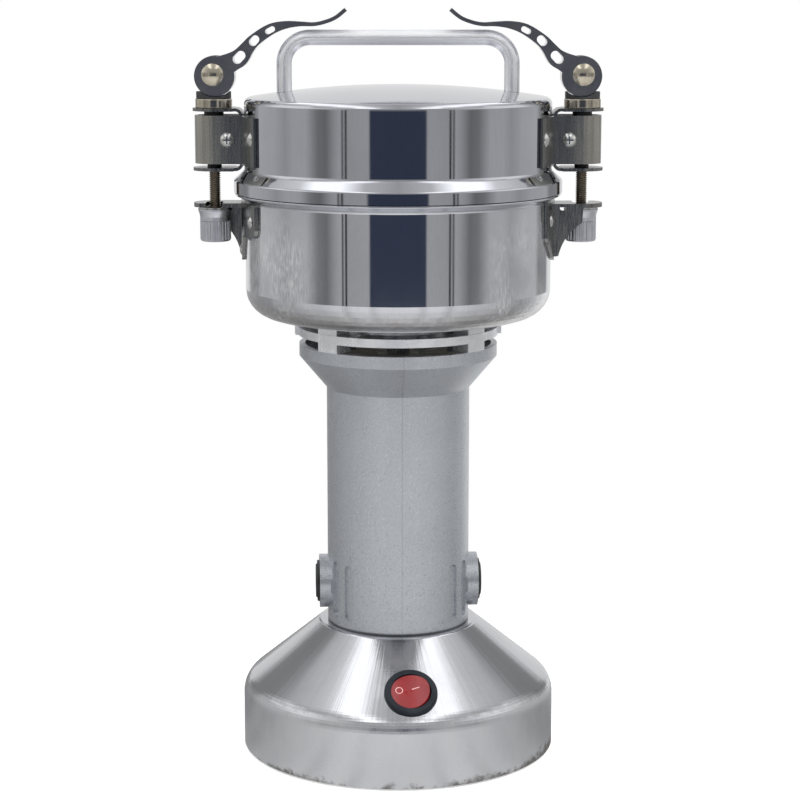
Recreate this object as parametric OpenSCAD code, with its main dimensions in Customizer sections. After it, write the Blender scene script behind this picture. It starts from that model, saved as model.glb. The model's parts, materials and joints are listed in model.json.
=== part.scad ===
// Upright electric grinding mill: a steel bowl with a clamped lid on a motor column and a cone base.
// Millimetres, +Z up. The origin is on the floor, on the axis of the motor shaft.
// The front of the mill faces -Y. The lid is held by two cam latches, one on +X and one on -X.

/* [Base] */
// Outside radius of the base skirt
base_r = 68; // [62:0.5:78]
// Height of the lower edge of the skirt above the floor
skirt_lift = 1; // [0.6:0.1:3]
// Height of the unrounded corner between the skirt and the cone
shoulder_z = 28.6; // [24:0.1:34]
// Radius of the rounded shoulder
shoulder_round = 10.5; // [6:0.5:12]
// Height of the flat land on top of the cone, where the motor column stands
base_h = 56; // [50:0.5:66]
// Width of the land left around the motor column
land_w = 3.4; // [2.5:0.1:6]
// Sheet thickness of the base
base_wall = 1.5; // [1:0.1:2]
// Thickness of the bottom plate
plate_t = 2.5; // [2:0.1:4]
// Radius of the circle that the four tie posts stand on
post_ring_r = 25.5; // [24.5:0.1:26]
// Outside radius of a tie post
post_r = 4; // [3.5:0.1:4.5]
// Radius of the circle that the rubber feet stand on
foot_ring_r = 52; // [44:0.5:54]
// Radius of a rubber foot
foot_r = 8; // [6:0.5:10]
// Direction of the switch, degrees from the front towards +X
switch_turn = 5.5; // [-10:0.1:12]
// Height of the cord gland above the floor
gland_z = 14; // [12:0.5:17]
// Radius of the bore for the mains cord
cord_bore_r = 3.6; // [2.5:0.1:4.5]

/* [Switch] */
// Outside radius of the round bezel
bezel_r = 11.2; // [10.8:0.1:12]
// Height of the bezel above its seat
bezel_h = 2.6; // [2:0.1:3.2]
// Radius of the barrel behind the bezel
barrel_r = 9.9; // [9.7:0.1:10.2]
// Radius of the round opening in the bezel
bezel_open_r = 8.5; // [8.4:0.1:8.9]
// Radius of the rocker
rocker_r = 8.1; // [7.6:0.1:8.1]
// Angle the rocker tips each way from level
rocker_tip = 8; // [5:0.5:9]
// Distance from the outside of the skirt in to the switch centre, measured level
switch_in = 12.2; // [11.5:0.1:16]

/* [Motor column] */
// Outside radius of the column
column_r = 30.8; // [30:0.1:33]
// Wall thickness of the motor housing
housing_wall = 2.5; // [2:0.1:2.6]
// Height of the column from its foot to the flare
column_h = 103.4; // [98:0.2:116]
// Height of the sloping flare
flare_h = 13.9; // [13:0.1:18]
// Height of the straight rim above the flare
rim_h = 5.2; // [4.6:0.1:8]
// Outside radius of the rim
rim_r = 42.5; // [41.5:0.1:46]
// Turn of the motor housing about the axis, degrees
housing_turn = 3.3; // [-8:0.1:8]
// Height of the brush axis above the foot of the column
brush_h = 16.8; // [16:0.1:20]
// Radius of a brush boss
boss_r = 11.7; // [11:0.1:13]
// Distance from the axis of the mill to the outer face of a brush boss
boss_reach = 34.5; // [34:0.1:38]
// Radius of the head of a brush cap
cap_r = 9; // [8.5:0.1:10.5]
// Height of a brush cap outside its boss
cap_h = 1.6; // [1.4:0.1:3]
// Width of the pressed slots in the column
slot_w = 5.3; // [3:0.1:5.4]
// Height of the pressed slots in the column
slot_h = 24.6; // [18:0.2:28]
// Depth of the pressed slots
slot_depth = 1.2; // [0.6:0.1:1.6]
// Angles of the slots either side of a brush boss, degrees
slot_angles = [25.8, 43.2];

/* [Collar] */
// Height of the windows between the housing and the ring
lower_window_h = 3.9; // [3:0.1:6]
// Height of the ring of the collar
ring_h = 3.6; // [3:0.1:6]
// Height of the windows between the ring and the bowl
upper_window_h = 4.5; // [3.5:0.1:7]
// Outside radius of the collar
collar_r = 43; // [42:0.1:46]
// Width of a post of the collar, degrees
post_angle = 15; // [13:0.5:20]
// Angle of a post of the collar from the front or the back of the motor, degrees
post_spread = 47.5; // [42:0.5:50]
// Radius of the circle of the four screws that hold the bowl
bowl_screw_r = 38.4; // [38:0.1:38.6]

/* [Bowl] */
// Outside radius of the bowl and of the lid wall
bowl_r = 65.1; // [63:0.1:66.5]
// Height from the bottom of the bowl to the flare of its rim
bowl_h = 49.8; // [46:0.2:70]
// Radius of the bottom corner of the bowl
bowl_round = 12; // [8:0.5:14]
// Sheet thickness of the bowl
bowl_wall = 1.2; // [0.8:0.1:1.6]
// Outward reach of the flared rim
rim_flare_w = 4.2; // [3.5:0.1:5]
// Height of the flared rim
rim_flare_h = 2.2; // [1.8:0.1:3]
// Height of the upright edge of the rim
rim_edge_h = 0.8; // [0.5:0.1:1.5]

/* [Lid] */
// Sheet thickness of the lid
lid_wall = 1.2; // [0.8:0.1:1.6]
// Outward step from the lid wall to the band
band_w = 4.6; // [4:0.1:5.5]
// Height of the straight band
band_h = 5; // [4:0.1:8]
// Height of the slope between the band and the lid wall
band_slope_h = 4.1; // [3:0.1:6]
// Height of the lid wall above the slope
lid_wall_h = 30.9; // [29.5:0.2:45]
// Radius of the rounded top edge of the lid
lid_round = 5; // [4:0.5:7]
// Height of the crown of the lid above its edge
crown_h = 4.6; // [3:0.1:8]

/* [Handle] */
// Diameter of the handle rod
handle_d = 6.5; // [5:0.1:8]
// Distance between the two legs of the handle
handle_span = 96; // [80:0.5:100]
// Height from the middle of the lid to the centre line of the handle bar
handle_rise = 19.7; // [19:0.1:24]
// Radius of the two bends, on the centre line
handle_bend = 11; // [8:0.5:16]

/* [Latch] */
// Distance from the lid wall out to the axis of a clamp rod
rod_out = 12.8; // [12.4:0.1:16]
// Radius of a clamp rod
rod_r = 2.45; // [2.2:0.05:2.5]
// Height of the strap that is wrapped round the rod guide
strap_h = 20.3; // [18:0.1:22]
// Sheet thickness of the strap
strap_t = 1.2; // [1:0.1:1.4]
// Radius inside the rounded end of the strap
strap_in_r = 7; // [6.6:0.1:7.4]
// Half of the angle that the wings of the strap cover, degrees
wing_half = 26.5; // [24:0.5:34]
// Height from the lower edge of the lid to the lower edge of the strap
strap_rise = 11.7; // [11.4:0.1:13]
// Sheet thickness of the bracket above and below the strap
flange_t = 1.3; // [1:0.1:1.5]
// Radius of the rounded end of the bracket
flange_r = 9; // [8.4:0.1:9.6]
// Gap between the strap and each flange of the bracket
flange_gap = 1.7; // [1.3:0.1:2.2]
// Radius of the steel ring under the saddle
ring_r = 7.8; // [6.5:0.1:8.5]
// Height of the steel ring under the saddle
thrust_h = 3.8; // [3:0.1:5]
// Radius of the saddle
saddle_r = 7.4; // [6.5:0.1:8]
// Height of the horns of the saddle
saddle_h = 3; // [2.2:0.1:3.4]
// Thickness left in the saddle under the cam
saddle_floor = 0.8; // [0.6:0.1:1.2]
// Radius of the cam of a lever
cam_r = 8.5; // [8:0.1:9.2]
// Offset of the cam centre from the pin, inwards and downwards
cam_offset = [0.77, 0.63];
// Width of a lever
lever_w = 11; // [9:0.1:12]
// Distance that the arm of a lever reaches in from its pin
lever_reach = 56; // [54:0.5:60]
// Width of the slot between the two cheeks of a lever
fork_w = 5.6; // [5.4:0.1:6.2]
// Radius of the barrel pin
pin_r = 4; // [3.6:0.1:4.1]
// Radius of the domed head of the pin
pin_head_r = 4.65; // [4.4:0.05:5]

/* [Catch] */
// Thickness of the slotted plate of a catch
catch_t = 1.8; // [1.4:0.1:2.2]
// Radius of the round end of the slotted plate
catch_end_r = 9; // [8.8:0.1:9.8]
// Width of the open slot in the plate
catch_slot_w = 7.2; // [6:0.1:8]
// Distance from the flare of the bowl rim down to the top of the plate
catch_drop = 1.6; // [1.4:0.1:3]
// Thickness of the sheet that is riveted to the bowl
leaf_t = 1.5; // [1.2:0.1:1.8]
// Height of the leaf at its ends
leaf_h = 14; // [12:0.5:18]
// Height of the tongue in the middle of the leaf
tongue_h = 25.5; // [22:0.5:28]
// Radius of the body of a clamp nut
nut_r = 6.55; // [6:0.05:6.8]
// Height of a clamp nut
nut_h = 13.9; // [12:0.1:18]
// Radius of the flange of a clamp nut
nut_flange_r = 7.3; // [7:0.1:7.6]
// Number of flutes round a clamp nut
nut_flutes = 26; // [16:1:32]

/* [Blades and shaft] */
// Radius of the shaft in its lower bearing
shaft_low_r = 4; // [3.5:0.1:4.5]
// Radius of the shaft in its upper bearing
shaft_top_r = 5; // [4.6:0.1:5.6]
// Distance from the axis to the tip of the long blade
blade_reach = 57; // [48:0.5:58]
// Width of a blade at its root
blade_w = 17; // [14:0.5:20]
// Thickness of a blade
blade_t = 2.4; // [1.6:0.1:3]
// Distance between one blade and the next
blade_gap = 9; // [8:0.5:11]
// Number of blades of the cooling fan
fan_blades = 12; // [8:1:16]

/* [Motor] */
// Length of the stator and of the armature
stator_h = 40; // [34:0.5:44]
// Height of the stator above the foot of the column
stator_rise = 38; // [37:0.5:42]
// Height of the coils beyond each end of the stator
coil_h = 8; // [5:0.5:8.5]
// Angle that each field coil covers, degrees
coil_span = 130; // [100:5:150]
// Radius of the armature
armature_r = 14.5; // [13:0.1:15]
// Height of the windings beyond each end of the armature
winding_h = 5; // [3:0.5:6]
// Radius of the commutator
comm_r = 11; // [10:0.1:11.5]
// Length of the commutator
comm_h = 14; // [12:0.5:14]

/* [Screws and rivets] */
// Radius of the screws that tie the base to the motor and the motor to the bowl
tie_screw_r = 1.9; // [1.6:0.1:2]
// Radius of the head of such a screw
screw_head_r = 3.6; // [3.2:0.1:3.8]
// Height of the domed head of a bowl screw
screw_head_h = 2; // [1.5:0.1:2.4]
// Radius of the shank of a rivet
rivet_r = 1.5; // [1.2:0.1:1.6]
// Radius of the screw across a strap
clamp_screw_r = 1.5; // [1.3:0.1:1.6]
// Radius of the screw up into each leg of the handle
leg_screw_r = 2; // [1.8:0.1:2.2]

/* [Hidden] */

// Clearances between pieces
run_gap = 0.05;
seat_gap = 0.1;
face_gap = 0.3;
slide_gap = 0.2;
// Overshoot of a cutting tool past the face that it cuts
cut = 1;

// Fragments on a round face, and steps round the corner of an outline
$fn = 96;
ARC = 8;

// Heights that stack up from the floor
plate_z = skirt_lift + 0.6;
housing_z = base_h;
flare_z = housing_z + column_h;
rim_z = flare_z + flare_h;
housing_top = rim_z + rim_h;
ring_z = housing_top + lower_window_h;
ring_top = ring_z + ring_h;
bowl_z = ring_top + upper_window_h;
floor_z = bowl_z + bowl_wall;
bowl_flare_z = bowl_z + bowl_h;
bowl_top = bowl_flare_z + rim_flare_h + rim_edge_h;
lid_z = bowl_top + face_gap;
band_top = lid_z + band_h;
lid_wall_z = band_top + band_slope_h;
lid_edge_z = lid_wall_z + lid_wall_h;
lid_top = lid_edge_z + crown_h;
strap_z = lid_z + strap_rise;
strap_top = strap_z + strap_h;
flange_low = strap_z - flange_gap - flange_t;
flange_top = strap_top + flange_gap + flange_t;
thrust_top = flange_top + thrust_h;
cam_bottom = thrust_top + saddle_floor + slide_gap;
pin_z = cam_bottom + cam_r + cam_offset[1];
catch_z = bowl_flare_z - catch_drop - catch_t;
washer_t = 0.6;
washer_top = catch_z - slide_gap;
nut_top = washer_top - washer_t - seat_gap;
brush_z = housing_z + brush_h;

// Radii that follow from others
land_r = column_r + land_w;
switch_r = base_r - switch_in;
housing_in = column_r - housing_wall;
rim_in = rim_r - housing_wall;
lid_band_r = bowl_r + band_w;
bowl_rim_r = bowl_r + rim_flare_w;
rod_x = bowl_r + rod_out;
bowl_in = bowl_r - bowl_wall;
cone_slope = atan((base_h - shoulder_z) / (base_r - land_r));

// Vector helpers
function unit(v) = v / norm(v);
function left_of(v) = [-v[1], v[0]];
function turned(v, a) = [v[0] * cos(a) - v[1] * sin(a), v[0] * sin(a) + v[1] * cos(a)];
function back(v) = [for (i = [len(v) - 1:-1:0]) v[i]];
function on_circle(r, a) = [r * cos(a), r * sin(a)];
function arc(c, r, a0, a1, n) = [for (i = [0:n]) c + on_circle(r, a0 + (a1 - a0) * i / n)];

// Points of a corner p, between a and b, rounded to the radius r
function corner(a, p, b, r) =
  let (
    u = unit(p - a),
    v = unit(b - p),
    s = sign(cross(u, v)),
    half = acos(min(1, max(-1, u * v))) / 2,
    room = 0.49 * min(norm(p - a), norm(b - p)),
    q = min(r, half > 0.01 ? room / tan(half) : r),
    first = p - u * q * tan(half),
    mid = first + s * q * left_of(u)
  )
  r <= 0 || half < 0.01 ? [p] : [for (j = [0:ARC]) mid + turned(first - mid, s * 2 * half * j / ARC)];

// An open path with each inner corner i rounded to radii[i]
function rounded(path, radii) = [
  for (i = [0:len(path) - 1])
    each (i == 0 || i == len(path) - 1 ? [path[i]] : corner(path[i - 1], path[i], path[i + 1], radii[i]))
];

// A closed outline with each corner i rounded to radii[i]
function rounded_loop(p, radii) = [
  for (i = [0:len(p) - 1])
    each corner(p[(i + len(p) - 1) % len(p)], p[i], p[(i + 1) % len(p)], radii[i])
];

// An open path moved to its left by d
function shifted(path, d) = [
  for (i = [0:len(path) - 1])
    let (
      last = len(path) - 1,
      n1 = left_of(unit(path[max(i, 1)] - path[max(i, 1) - 1])),
      n2 = left_of(unit(path[min(i, last - 1) + 1] - path[min(i, last - 1)]))
    )
    path[i] + (n1 + n2) * d / (1 + n1 * n2)
];

// Corner radii of that moved path
function shifted_radii(path, radii, d) = [
  for (i = [0:len(path) - 1])
    i == 0 || i == len(path) - 1 || radii[i] == 0 ? 0 :
      max(0.05, radii[i] - d * sign(cross(path[i] - path[i - 1], path[i + 1] - path[i])))
];

// Closed outline of a sheet whose one face is the path and whose other face lies d to its left
function sheet(path, radii, d) =
  concat(rounded(path, radii), back(rounded(shifted(path, d), shifted_radii(path, radii, d))));

// The same outline with nothing left of the turning axis
function right_half(points) = [for (p = points) [max(0, p[0]), p[1]]];

// A solid turned from an outline of radius and height
module turned_solid(points) {
  rotate_extrude() polygon(right_half(points));
}

// A straight tube with an open bore
module tube(r_out, r_in, h) {
  difference() {
    cylinder(r = r_out, h = h);
    translate([0, 0, -cut]) cylinder(r = r_in, h = h + 2 * cut);
  }
}

// Part of a ring: radii r0 to r1, from z0 to z1, w degrees wide, centred on +X
module ring_piece(r0, r1, z0, z1, w) {
  rotate([0, 0, -w / 2])
    rotate_extrude(angle = w)
      translate([r0, z0]) square([r1 - r0, z1 - z0]);
}

// Children at four places round the axis, turned by a and r from it
module four_round(r, a) {
  for (i = [0:3]) rotate([0, 0, a + 90 * i]) translate([r, 0, 0]) children();
}

// Children at each post of the collar, turned with the motor, at the distance r from the axis
module at_posts(r) {
  for (side = [-90, 90], a = [-post_spread, post_spread])
    rotate([0, 0, housing_turn + side + a]) translate([r, 0, 0]) children();
}

// Places children, drawn on +X, on the right or the left side of the mill
module on_side(right) {
  rotate([0, 0, right ? 0 : 180]) children();
}

// Stands a flat XZ outline up and gives it the width w, centred on Y = 0
module upright(w) {
  translate([0, w / 2, 0]) rotate([90, 0, 0]) linear_extrude(w) children();
}

// Hexagonal prism, af across its flats
module hexagon(af, h) {
  cylinder(r = af / sqrt(3), h = h, $fn = 6);
}

// Low domed head, turned from an arc: radius r, height h, sitting on z = 0
module domed_head(r, h) {
  ball = (r * r + h * h) / (2 * h);
  sweep = asin(r / ball);
  turned_solid(concat([[0, 0]], arc([0, h - ball], ball, 90 - sweep, 90, ARC)));
}

// Base

land_in_r = post_ring_r - post_r - 1.5;
base_path = [[base_r, skirt_lift], [base_r, shoulder_z], [land_r, base_h], [land_in_r, base_h]];
base_radii = [0, shoulder_round, 2.6, 0];

// Switch frame: x to the right, y up the cone, z out of it, origin on the seat of the bezel
seat_depth = 0.8;
switch_z = base_h - (switch_r - land_r) * tan(cone_slope);
module at_switch() {
  rotate([0, 0, switch_turn])
    translate([0, -switch_r, switch_z])
      rotate([cone_slope, 0, 0])
        translate([0, 0, -seat_depth]) children();
}

// Gland frame: z points out of the skirt at the back of the base
gland_turn = 90;
gland_r = 6;
gland_flange_r = 8;
// Where the inner flange of the gland ends, set back by the bow of the skirt across it
gland_seat = -base_wall - seat_gap - (gland_r + 1.2) * (gland_r + 1.2) / (2 * (base_r - base_wall));
module at_gland() {
  rotate([0, 0, gland_turn]) translate([base_r, 0, gland_z]) rotate([0, 90, 0]) children();
}

module base_shell() {
  color("lightsteelblue")
    difference() {
      turned_solid(sheet(base_path, base_radii, base_wall));
      at_switch() {
        cylinder(r = bezel_r + seat_gap, h = 6);
        translate([0, 0, -8]) cylinder(r = barrel_r + seat_gap, h = 10);
      }
      at_gland() translate([0, 0, -8]) cylinder(r = gland_r + seat_gap, h = 16);
      four_round(post_ring_r, 45)
        translate([0, 0, base_h - 6]) cylinder(r = tie_screw_r + seat_gap, h = 12);
    }
}

module base_plate() {
  color("dimgray")
    difference() {
      union() {
        translate([0, 0, plate_z]) cylinder(r = base_r - base_wall - seat_gap, h = plate_t);
        four_round(post_ring_r, 45)
          translate([0, 0, plate_z]) cylinder(r = post_r, h = base_h - base_wall - plate_z);
      }
      four_round(post_ring_r, 45)
        translate([0, 0, plate_z - cut]) cylinder(r = tie_screw_r + seat_gap, h = base_h);
      four_round(foot_ring_r, 0) translate([0, 0, plate_z - cut]) cylinder(r = 3, h = plate_t + 2 * cut);
    }
}

module base_feet() {
  color("black")
    four_round(foot_ring_r, 0) {
      cylinder(r = foot_r, h = plate_z);
      cylinder(r = 3 - run_gap, h = plate_z + plate_t + 0.2);
      translate([0, 0, plate_z + plate_t + 0.1]) cylinder(r1 = 4.2, r2 = 3, h = 1.6);
    }
}

module base_screws() {
  color("silver")
    four_round(post_ring_r, 45) {
      translate([0, 0, plate_z - 1.2]) cylinder(r = screw_head_r, h = 1.2);
      translate([0, 0, plate_z - 0.2]) cylinder(r = tie_screw_r, h = base_h + 8 - plate_z);
    }
}

module cord_gland() {
  color("black")
    at_gland()
      difference() {
        turned_solid([
          [0, -6], [gland_r + 1.2, -6], [gland_r + 1.2, gland_seat], [gland_r, gland_seat],
          [gland_r, seat_gap], [gland_flange_r, seat_gap], [gland_flange_r, 0.8],
          [gland_flange_r - 0.7, 1.5], [0, 1.5]
        ]);
        translate([0, 0, -7]) cylinder(r = cord_bore_r, h = 10);
      }
}

// Switch

barrel_deep = 17;
pocket_deep = 6.5;
pivot_z = 0.6;
pivot_r = 1;
pivot_len = 2 * barrel_r - 0.6;
rocker_edge = 2.7;
rocker_hollow_r = 28;
rocker_low = rocker_edge - rocker_hollow_r + sqrt(rocker_hollow_r * rocker_hollow_r - rocker_r * rocker_r);

module switch_body() {
  color("darkslategray")
    at_switch()
      difference() {
        union() {
          turned_solid(rounded(
            [[0, 0], [bezel_r, 0], [bezel_r, bezel_h], [bezel_open_r, bezel_h], [0, bezel_h]],
            [0, 0, 1.4, 0, 0]
          ));
          translate([0, 0, -barrel_deep]) cylinder(r = barrel_r, h = barrel_deep + 0.1);
        }
        translate([0, 0, -pocket_deep]) cylinder(r = bezel_open_r, h = pocket_deep + bezel_h + cut);
        translate([0, pivot_len / 2 + seat_gap, pivot_z])
          rotate([90, 0, 0]) cylinder(r = pivot_r + run_gap, h = pivot_len + 2 * seat_gap);
      }
}

// The rocker rests with its left side pressed, which is off
module switch_rocker() {
  color("red")
    at_switch()
      translate([0, 0, pivot_z])
        rotate([0, -rocker_tip, 0]) {
          intersection() {
            translate([0, 0, -1.8]) cylinder(r = rocker_r, h = 8);
            upright(2 * rocker_r)
              polygon(concat(
                [[-rocker_r - cut, -1.8], [rocker_r + cut, -1.8]],
                arc([0, rocker_low + rocker_hollow_r], rocker_hollow_r, 270 + 20, 270 - 20, 16)
              ));
          }
          translate([0, pivot_len / 2 - seat_gap, 0])
            rotate([90, 0, 0]) cylinder(r = pivot_r, h = pivot_len - 2 * seat_gap);
        }
}

// Motor column

bearing_low_r = 11;
bearing_low_h = 7;
bearing_top_r = 13;
bearing_top_h = 8;
web_t = 3;
holder_r = 7;
lug_r = rim_r - 0.5 - bowl_screw_r;
lug_z = rim_z + 0.4;
flare_lean = atan((rim_r - column_r) / flare_h);
wall_drop = housing_wall * (1 - sin(flare_lean)) / cos(flare_lean);

housing_outer = [
  [0, housing_z], [column_r, housing_z], [column_r, flare_z], [rim_r, rim_z],
  [rim_r, housing_top], [0, housing_top]
];
housing_inner = [
  [0, housing_z + web_t], [housing_in, housing_z + web_t], [housing_in, flare_z + wall_drop],
  [rim_in, rim_z + wall_drop], [rim_in, housing_top + cut], [0, housing_top + cut]
];

// Children on the axis of each brush, with z outwards
module at_brushes() {
  for (side = [0, 1]) at_brush(side) children();
}

module at_brush(side) {
  rotate([0, 0, housing_turn + 180 * side]) translate([0, 0, brush_z]) rotate([0, 90, 0]) children();
}

// One pressed slot: a round-ended cutter that enters the column to slot_depth
module column_slot() {
  half = (slot_h - slot_w) / 2;
  translate([column_r - slot_depth, 0, brush_z - 0.6]) {
    translate([0, -slot_w / 2, -half]) cube([2 * slot_depth, slot_w, 2 * half]);
    for (end = [-half, half])
      translate([0, 0, end]) rotate([0, 90, 0]) cylinder(r = slot_w / 2, h = 2 * slot_depth);
  }
}

module motor_housing() {
  color("silver")
    difference() {
      union() {
        difference() {
          union() {
            turned_solid(housing_outer);
            at_brushes() cylinder(r = boss_r, h = boss_reach);
          }
          turned_solid(housing_inner);
        }
        translate([0, 0, housing_z]) cylinder(r = bearing_low_r + 3, h = web_t + bearing_low_h);
        at_posts(bowl_screw_r) translate([0, 0, lug_z]) cylinder(r = lug_r, h = housing_top - lug_z);
        four_round(post_ring_r, 45) translate([0, 0, housing_z]) cylinder(r = 4.5, h = 9);
      }
      translate([0, 0, housing_z + web_t]) cylinder(r = bearing_low_r, h = bearing_low_h + cut);
      translate([0, 0, housing_z - cut]) cylinder(r = shaft_low_r + 2, h = web_t + 2 * cut);
      at_brushes() cylinder(r = holder_r, h = boss_reach + cut);
      four_round(post_ring_r, 45)
        translate([0, 0, housing_z - cut]) cylinder(r = tie_screw_r + run_gap, h = 12);
      at_posts(bowl_screw_r)
        translate([0, 0, lug_z + 0.8]) cylinder(r = tie_screw_r + run_gap, h = rim_h + 6);
      for (side = [0, 180], a = slot_angles, way = [-1, 1])
        rotate([0, 0, housing_turn + side + way * a]) column_slot();
    }
}

// Collar between the housing and the bowl, which is also the upper end bracket of the motor
hub_r = bearing_top_r + 3;
bearing_top_z = ring_top - bearing_top_h;
collar_in = bowl_screw_r - 4.8;

module end_bracket() {
  color("gainsboro")
    difference() {
      union() {
        translate([0, 0, ring_z]) cylinder(r = collar_r, h = ring_h);
        translate([0, 0, bearing_top_z]) cylinder(r = hub_r, h = bearing_top_h + upper_window_h);
        at_posts(0) {
          ring_piece(collar_in, collar_r - 0.3, housing_top, ring_z + 0.1, post_angle);
          ring_piece(collar_in, collar_r - 0.3, ring_top - 0.1, bowl_z, post_angle);
        }
        for (side = [0, 180])
          rotate([0, 0, housing_turn + side])
            ring_piece(collar_in, collar_r + 1.4, ring_z + 0.3, bowl_z, post_angle * 1.1);
      }
      translate([0, 0, bearing_top_z - cut]) cylinder(r = bearing_top_r, h = bearing_top_h + cut);
      translate([0, 0, ring_z]) cylinder(r = shaft_top_r + 1, h = 20);
      rotate([0, 0, housing_turn])
        for (i = [0:3])
          rotate([0, 0, 90 * i]) ring_piece(hub_r + 3, collar_in - 2, ring_z - cut, ring_top + cut, 62);
      at_posts(bowl_screw_r)
        translate([0, 0, housing_top - cut]) cylinder(r = tie_screw_r + seat_gap, h = 20);
    }
}

// Motor

stator_z = housing_z + stator_rise;
air_gap = 0.5;

module stator_core() {
  color("gray")
    translate([0, 0, stator_z]) tube(housing_in - run_gap, armature_r + air_gap, stator_h);
}

module field_coils() {
  color("peru")
    rotate([0, 0, housing_turn])
      for (end = [stator_z - coil_h, stator_z + stator_h], side = [90, 270])
        rotate([0, 0, side])
          ring_piece(armature_r + 2.5, housing_in - 2, end, end + coil_h, coil_span);
}

module bearing(r_out, r_in, h) {
  turned_solid([[r_in, 0], [r_out, 0], [r_out, h], [r_in, h]]);
}

module lower_bearing() {
  color("lightgray")
    translate([0, 0, housing_z + web_t])
      bearing(bearing_low_r - run_gap, shaft_low_r + run_gap, bearing_low_h);
}

module upper_bearing() {
  color("lightgray")
    translate([0, 0, bearing_top_z]) bearing(bearing_top_r - run_gap, shaft_top_r + run_gap, bearing_top_h);
}

brush_w = 6;
brush_t = 8;
brush_len = 12;
brush_in = comm_r + seat_gap;

module brush_holders() {
  color("goldenrod")
    at_brushes()
      translate([0, 0, comm_r + 4])
        difference() {
          cylinder(r = holder_r - run_gap, h = boss_reach - 6 - comm_r - 4);
          translate([-brush_t / 2 - seat_gap, -brush_w / 2 - seat_gap, -cut])
            cube([brush_t + 2 * seat_gap, brush_w + 2 * seat_gap, boss_reach]);
        }
}

module carbon_brushes() {
  color("black")
    at_brushes()
      difference() {
        translate([-brush_t / 2, -brush_w / 2, brush_in - 1]) cube([brush_t, brush_w, brush_len + 1]);
        translate([0, 0, 0]) rotate([0, 90, 0]) translate([0, 0, -20]) cylinder(r = brush_in, h = 40);
      }
}

// The spring behind each brush, wound as one wire with both ends cut square
spring_wire = 0.35;
spring_r = 2.2;
spring_turns = 5;
spring_z0 = brush_in + brush_len + spring_wire + 0.05;
spring_z1 = boss_reach - 6 - spring_wire - 0.05;
function spring_point(t) = [
  spring_r * cos(360 * spring_turns * t),
  spring_r * sin(360 * spring_turns * t),
  spring_z0 + (spring_z1 - spring_z0) * t
];

module spring_coil() {
  steps = 10 * spring_turns;
  sides = 6;
  dirs = [
    for (i = [0:steps])
      unit(spring_point(min(1, (i + 0.5) / steps)) - spring_point(max(0, (i - 0.5) / steps)))
  ];
  rings = [
    for (i = [0:steps])
      let (
        p = spring_point(i / steps),
        out = [p[0], p[1], 0] / spring_r,
        up = cross(dirs[i], out)
      )
      for (j = [0:sides - 1]) p + spring_wire * (cos(360 * j / sides) * out + sin(360 * j / sides) * up)
  ];
  walls = [
    for (i = [0:steps - 1], j = [0:sides - 1])
      let (k = (j + 1) % sides, a = i * sides, b = a + sides)
      each [[a + j, a + k, b + j], [a + k, b + k, b + j]]
  ];
  caps = [[for (j = [sides - 1:-1:0]) j], [for (j = [0:sides - 1]) steps * sides + j]];
  polyhedron(rings, concat(walls, caps));
}

module brush_springs() {
  color("silver") at_brushes() spring_coil();
}

// Screw cap over a brush: a stepped head outside the boss and a threaded plug inside it
module brush_cap(side) {
  color("black")
    at_brush(side)
      difference() {
        turned_solid([
          [0, boss_reach - 5.9], [holder_r - seat_gap, boss_reach - 5.9],
          [holder_r - seat_gap, boss_reach + run_gap], [cap_r, boss_reach + run_gap],
          [cap_r, boss_reach + cap_h * 0.6], [cap_r - 1.5, boss_reach + cap_h * 0.65],
          [cap_r - 1.9, boss_reach + cap_h], [0, boss_reach + cap_h]
        ]);
        translate([-cap_r, -0.8, boss_reach + cap_h - 0.9]) cube([2 * cap_r, 1.6, 2]);
      }
}

// Rotor

shaft_z = housing_z + 1;
shaft_step_z = stator_z - 6;
shaft_seat_z = floor_z + 6;
stud_r = 4;
blade_z = shaft_seat_z;
blade_pitch = blade_gap + blade_t;
stud_top = blade_z + 2 * blade_pitch + blade_t + 9;

module motor_shaft() {
  color("silver")
    turned_solid([
      [0, shaft_z], [shaft_low_r, shaft_z], [shaft_low_r, shaft_step_z], [shaft_top_r, shaft_step_z],
      [shaft_top_r, shaft_seat_z], [stud_r, shaft_seat_z], [stud_r, stud_top - 0.8],
      [stud_r - 0.8, stud_top], [0, stud_top]
    ]);
}

module armature_core() {
  color("dimgray") translate([0, 0, stator_z]) tube(armature_r, shaft_top_r + run_gap, stator_h);
}

module armature_windings() {
  color("chocolate")
    for (z = [stator_z - winding_h, stator_z + stator_h])
      translate([0, 0, z]) tube(armature_r - 1.5, shaft_top_r + run_gap, winding_h);
}

module commutator() {
  color("orange")
    translate([0, 0, brush_z - comm_h / 2 + 1]) tube(comm_r, shaft_low_r + run_gap, comm_h - 1);
}

fan_r = column_r - 1;
fan_z = flare_z + 6;
fan_h = 8;

module cooling_fan() {
  color("white")
    difference() {
      union() {
        translate([0, 0, fan_z]) cylinder(r = fan_r, h = 1.4);
        translate([0, 0, fan_z]) cylinder(r = 9, h = fan_h);
        for (i = [0:fan_blades - 1])
          rotate([0, 0, 360 * i / fan_blades])
            translate([8, -0.6, fan_z + 1]) rotate([0, 0, 14]) cube([fan_r - 10, 1.2, fan_h - 1]);
      }
      translate([0, 0, fan_z - cut]) cylinder(r = shaft_top_r + run_gap, h = fan_h + 2 * cut);
    }
}

// Bowl

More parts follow.
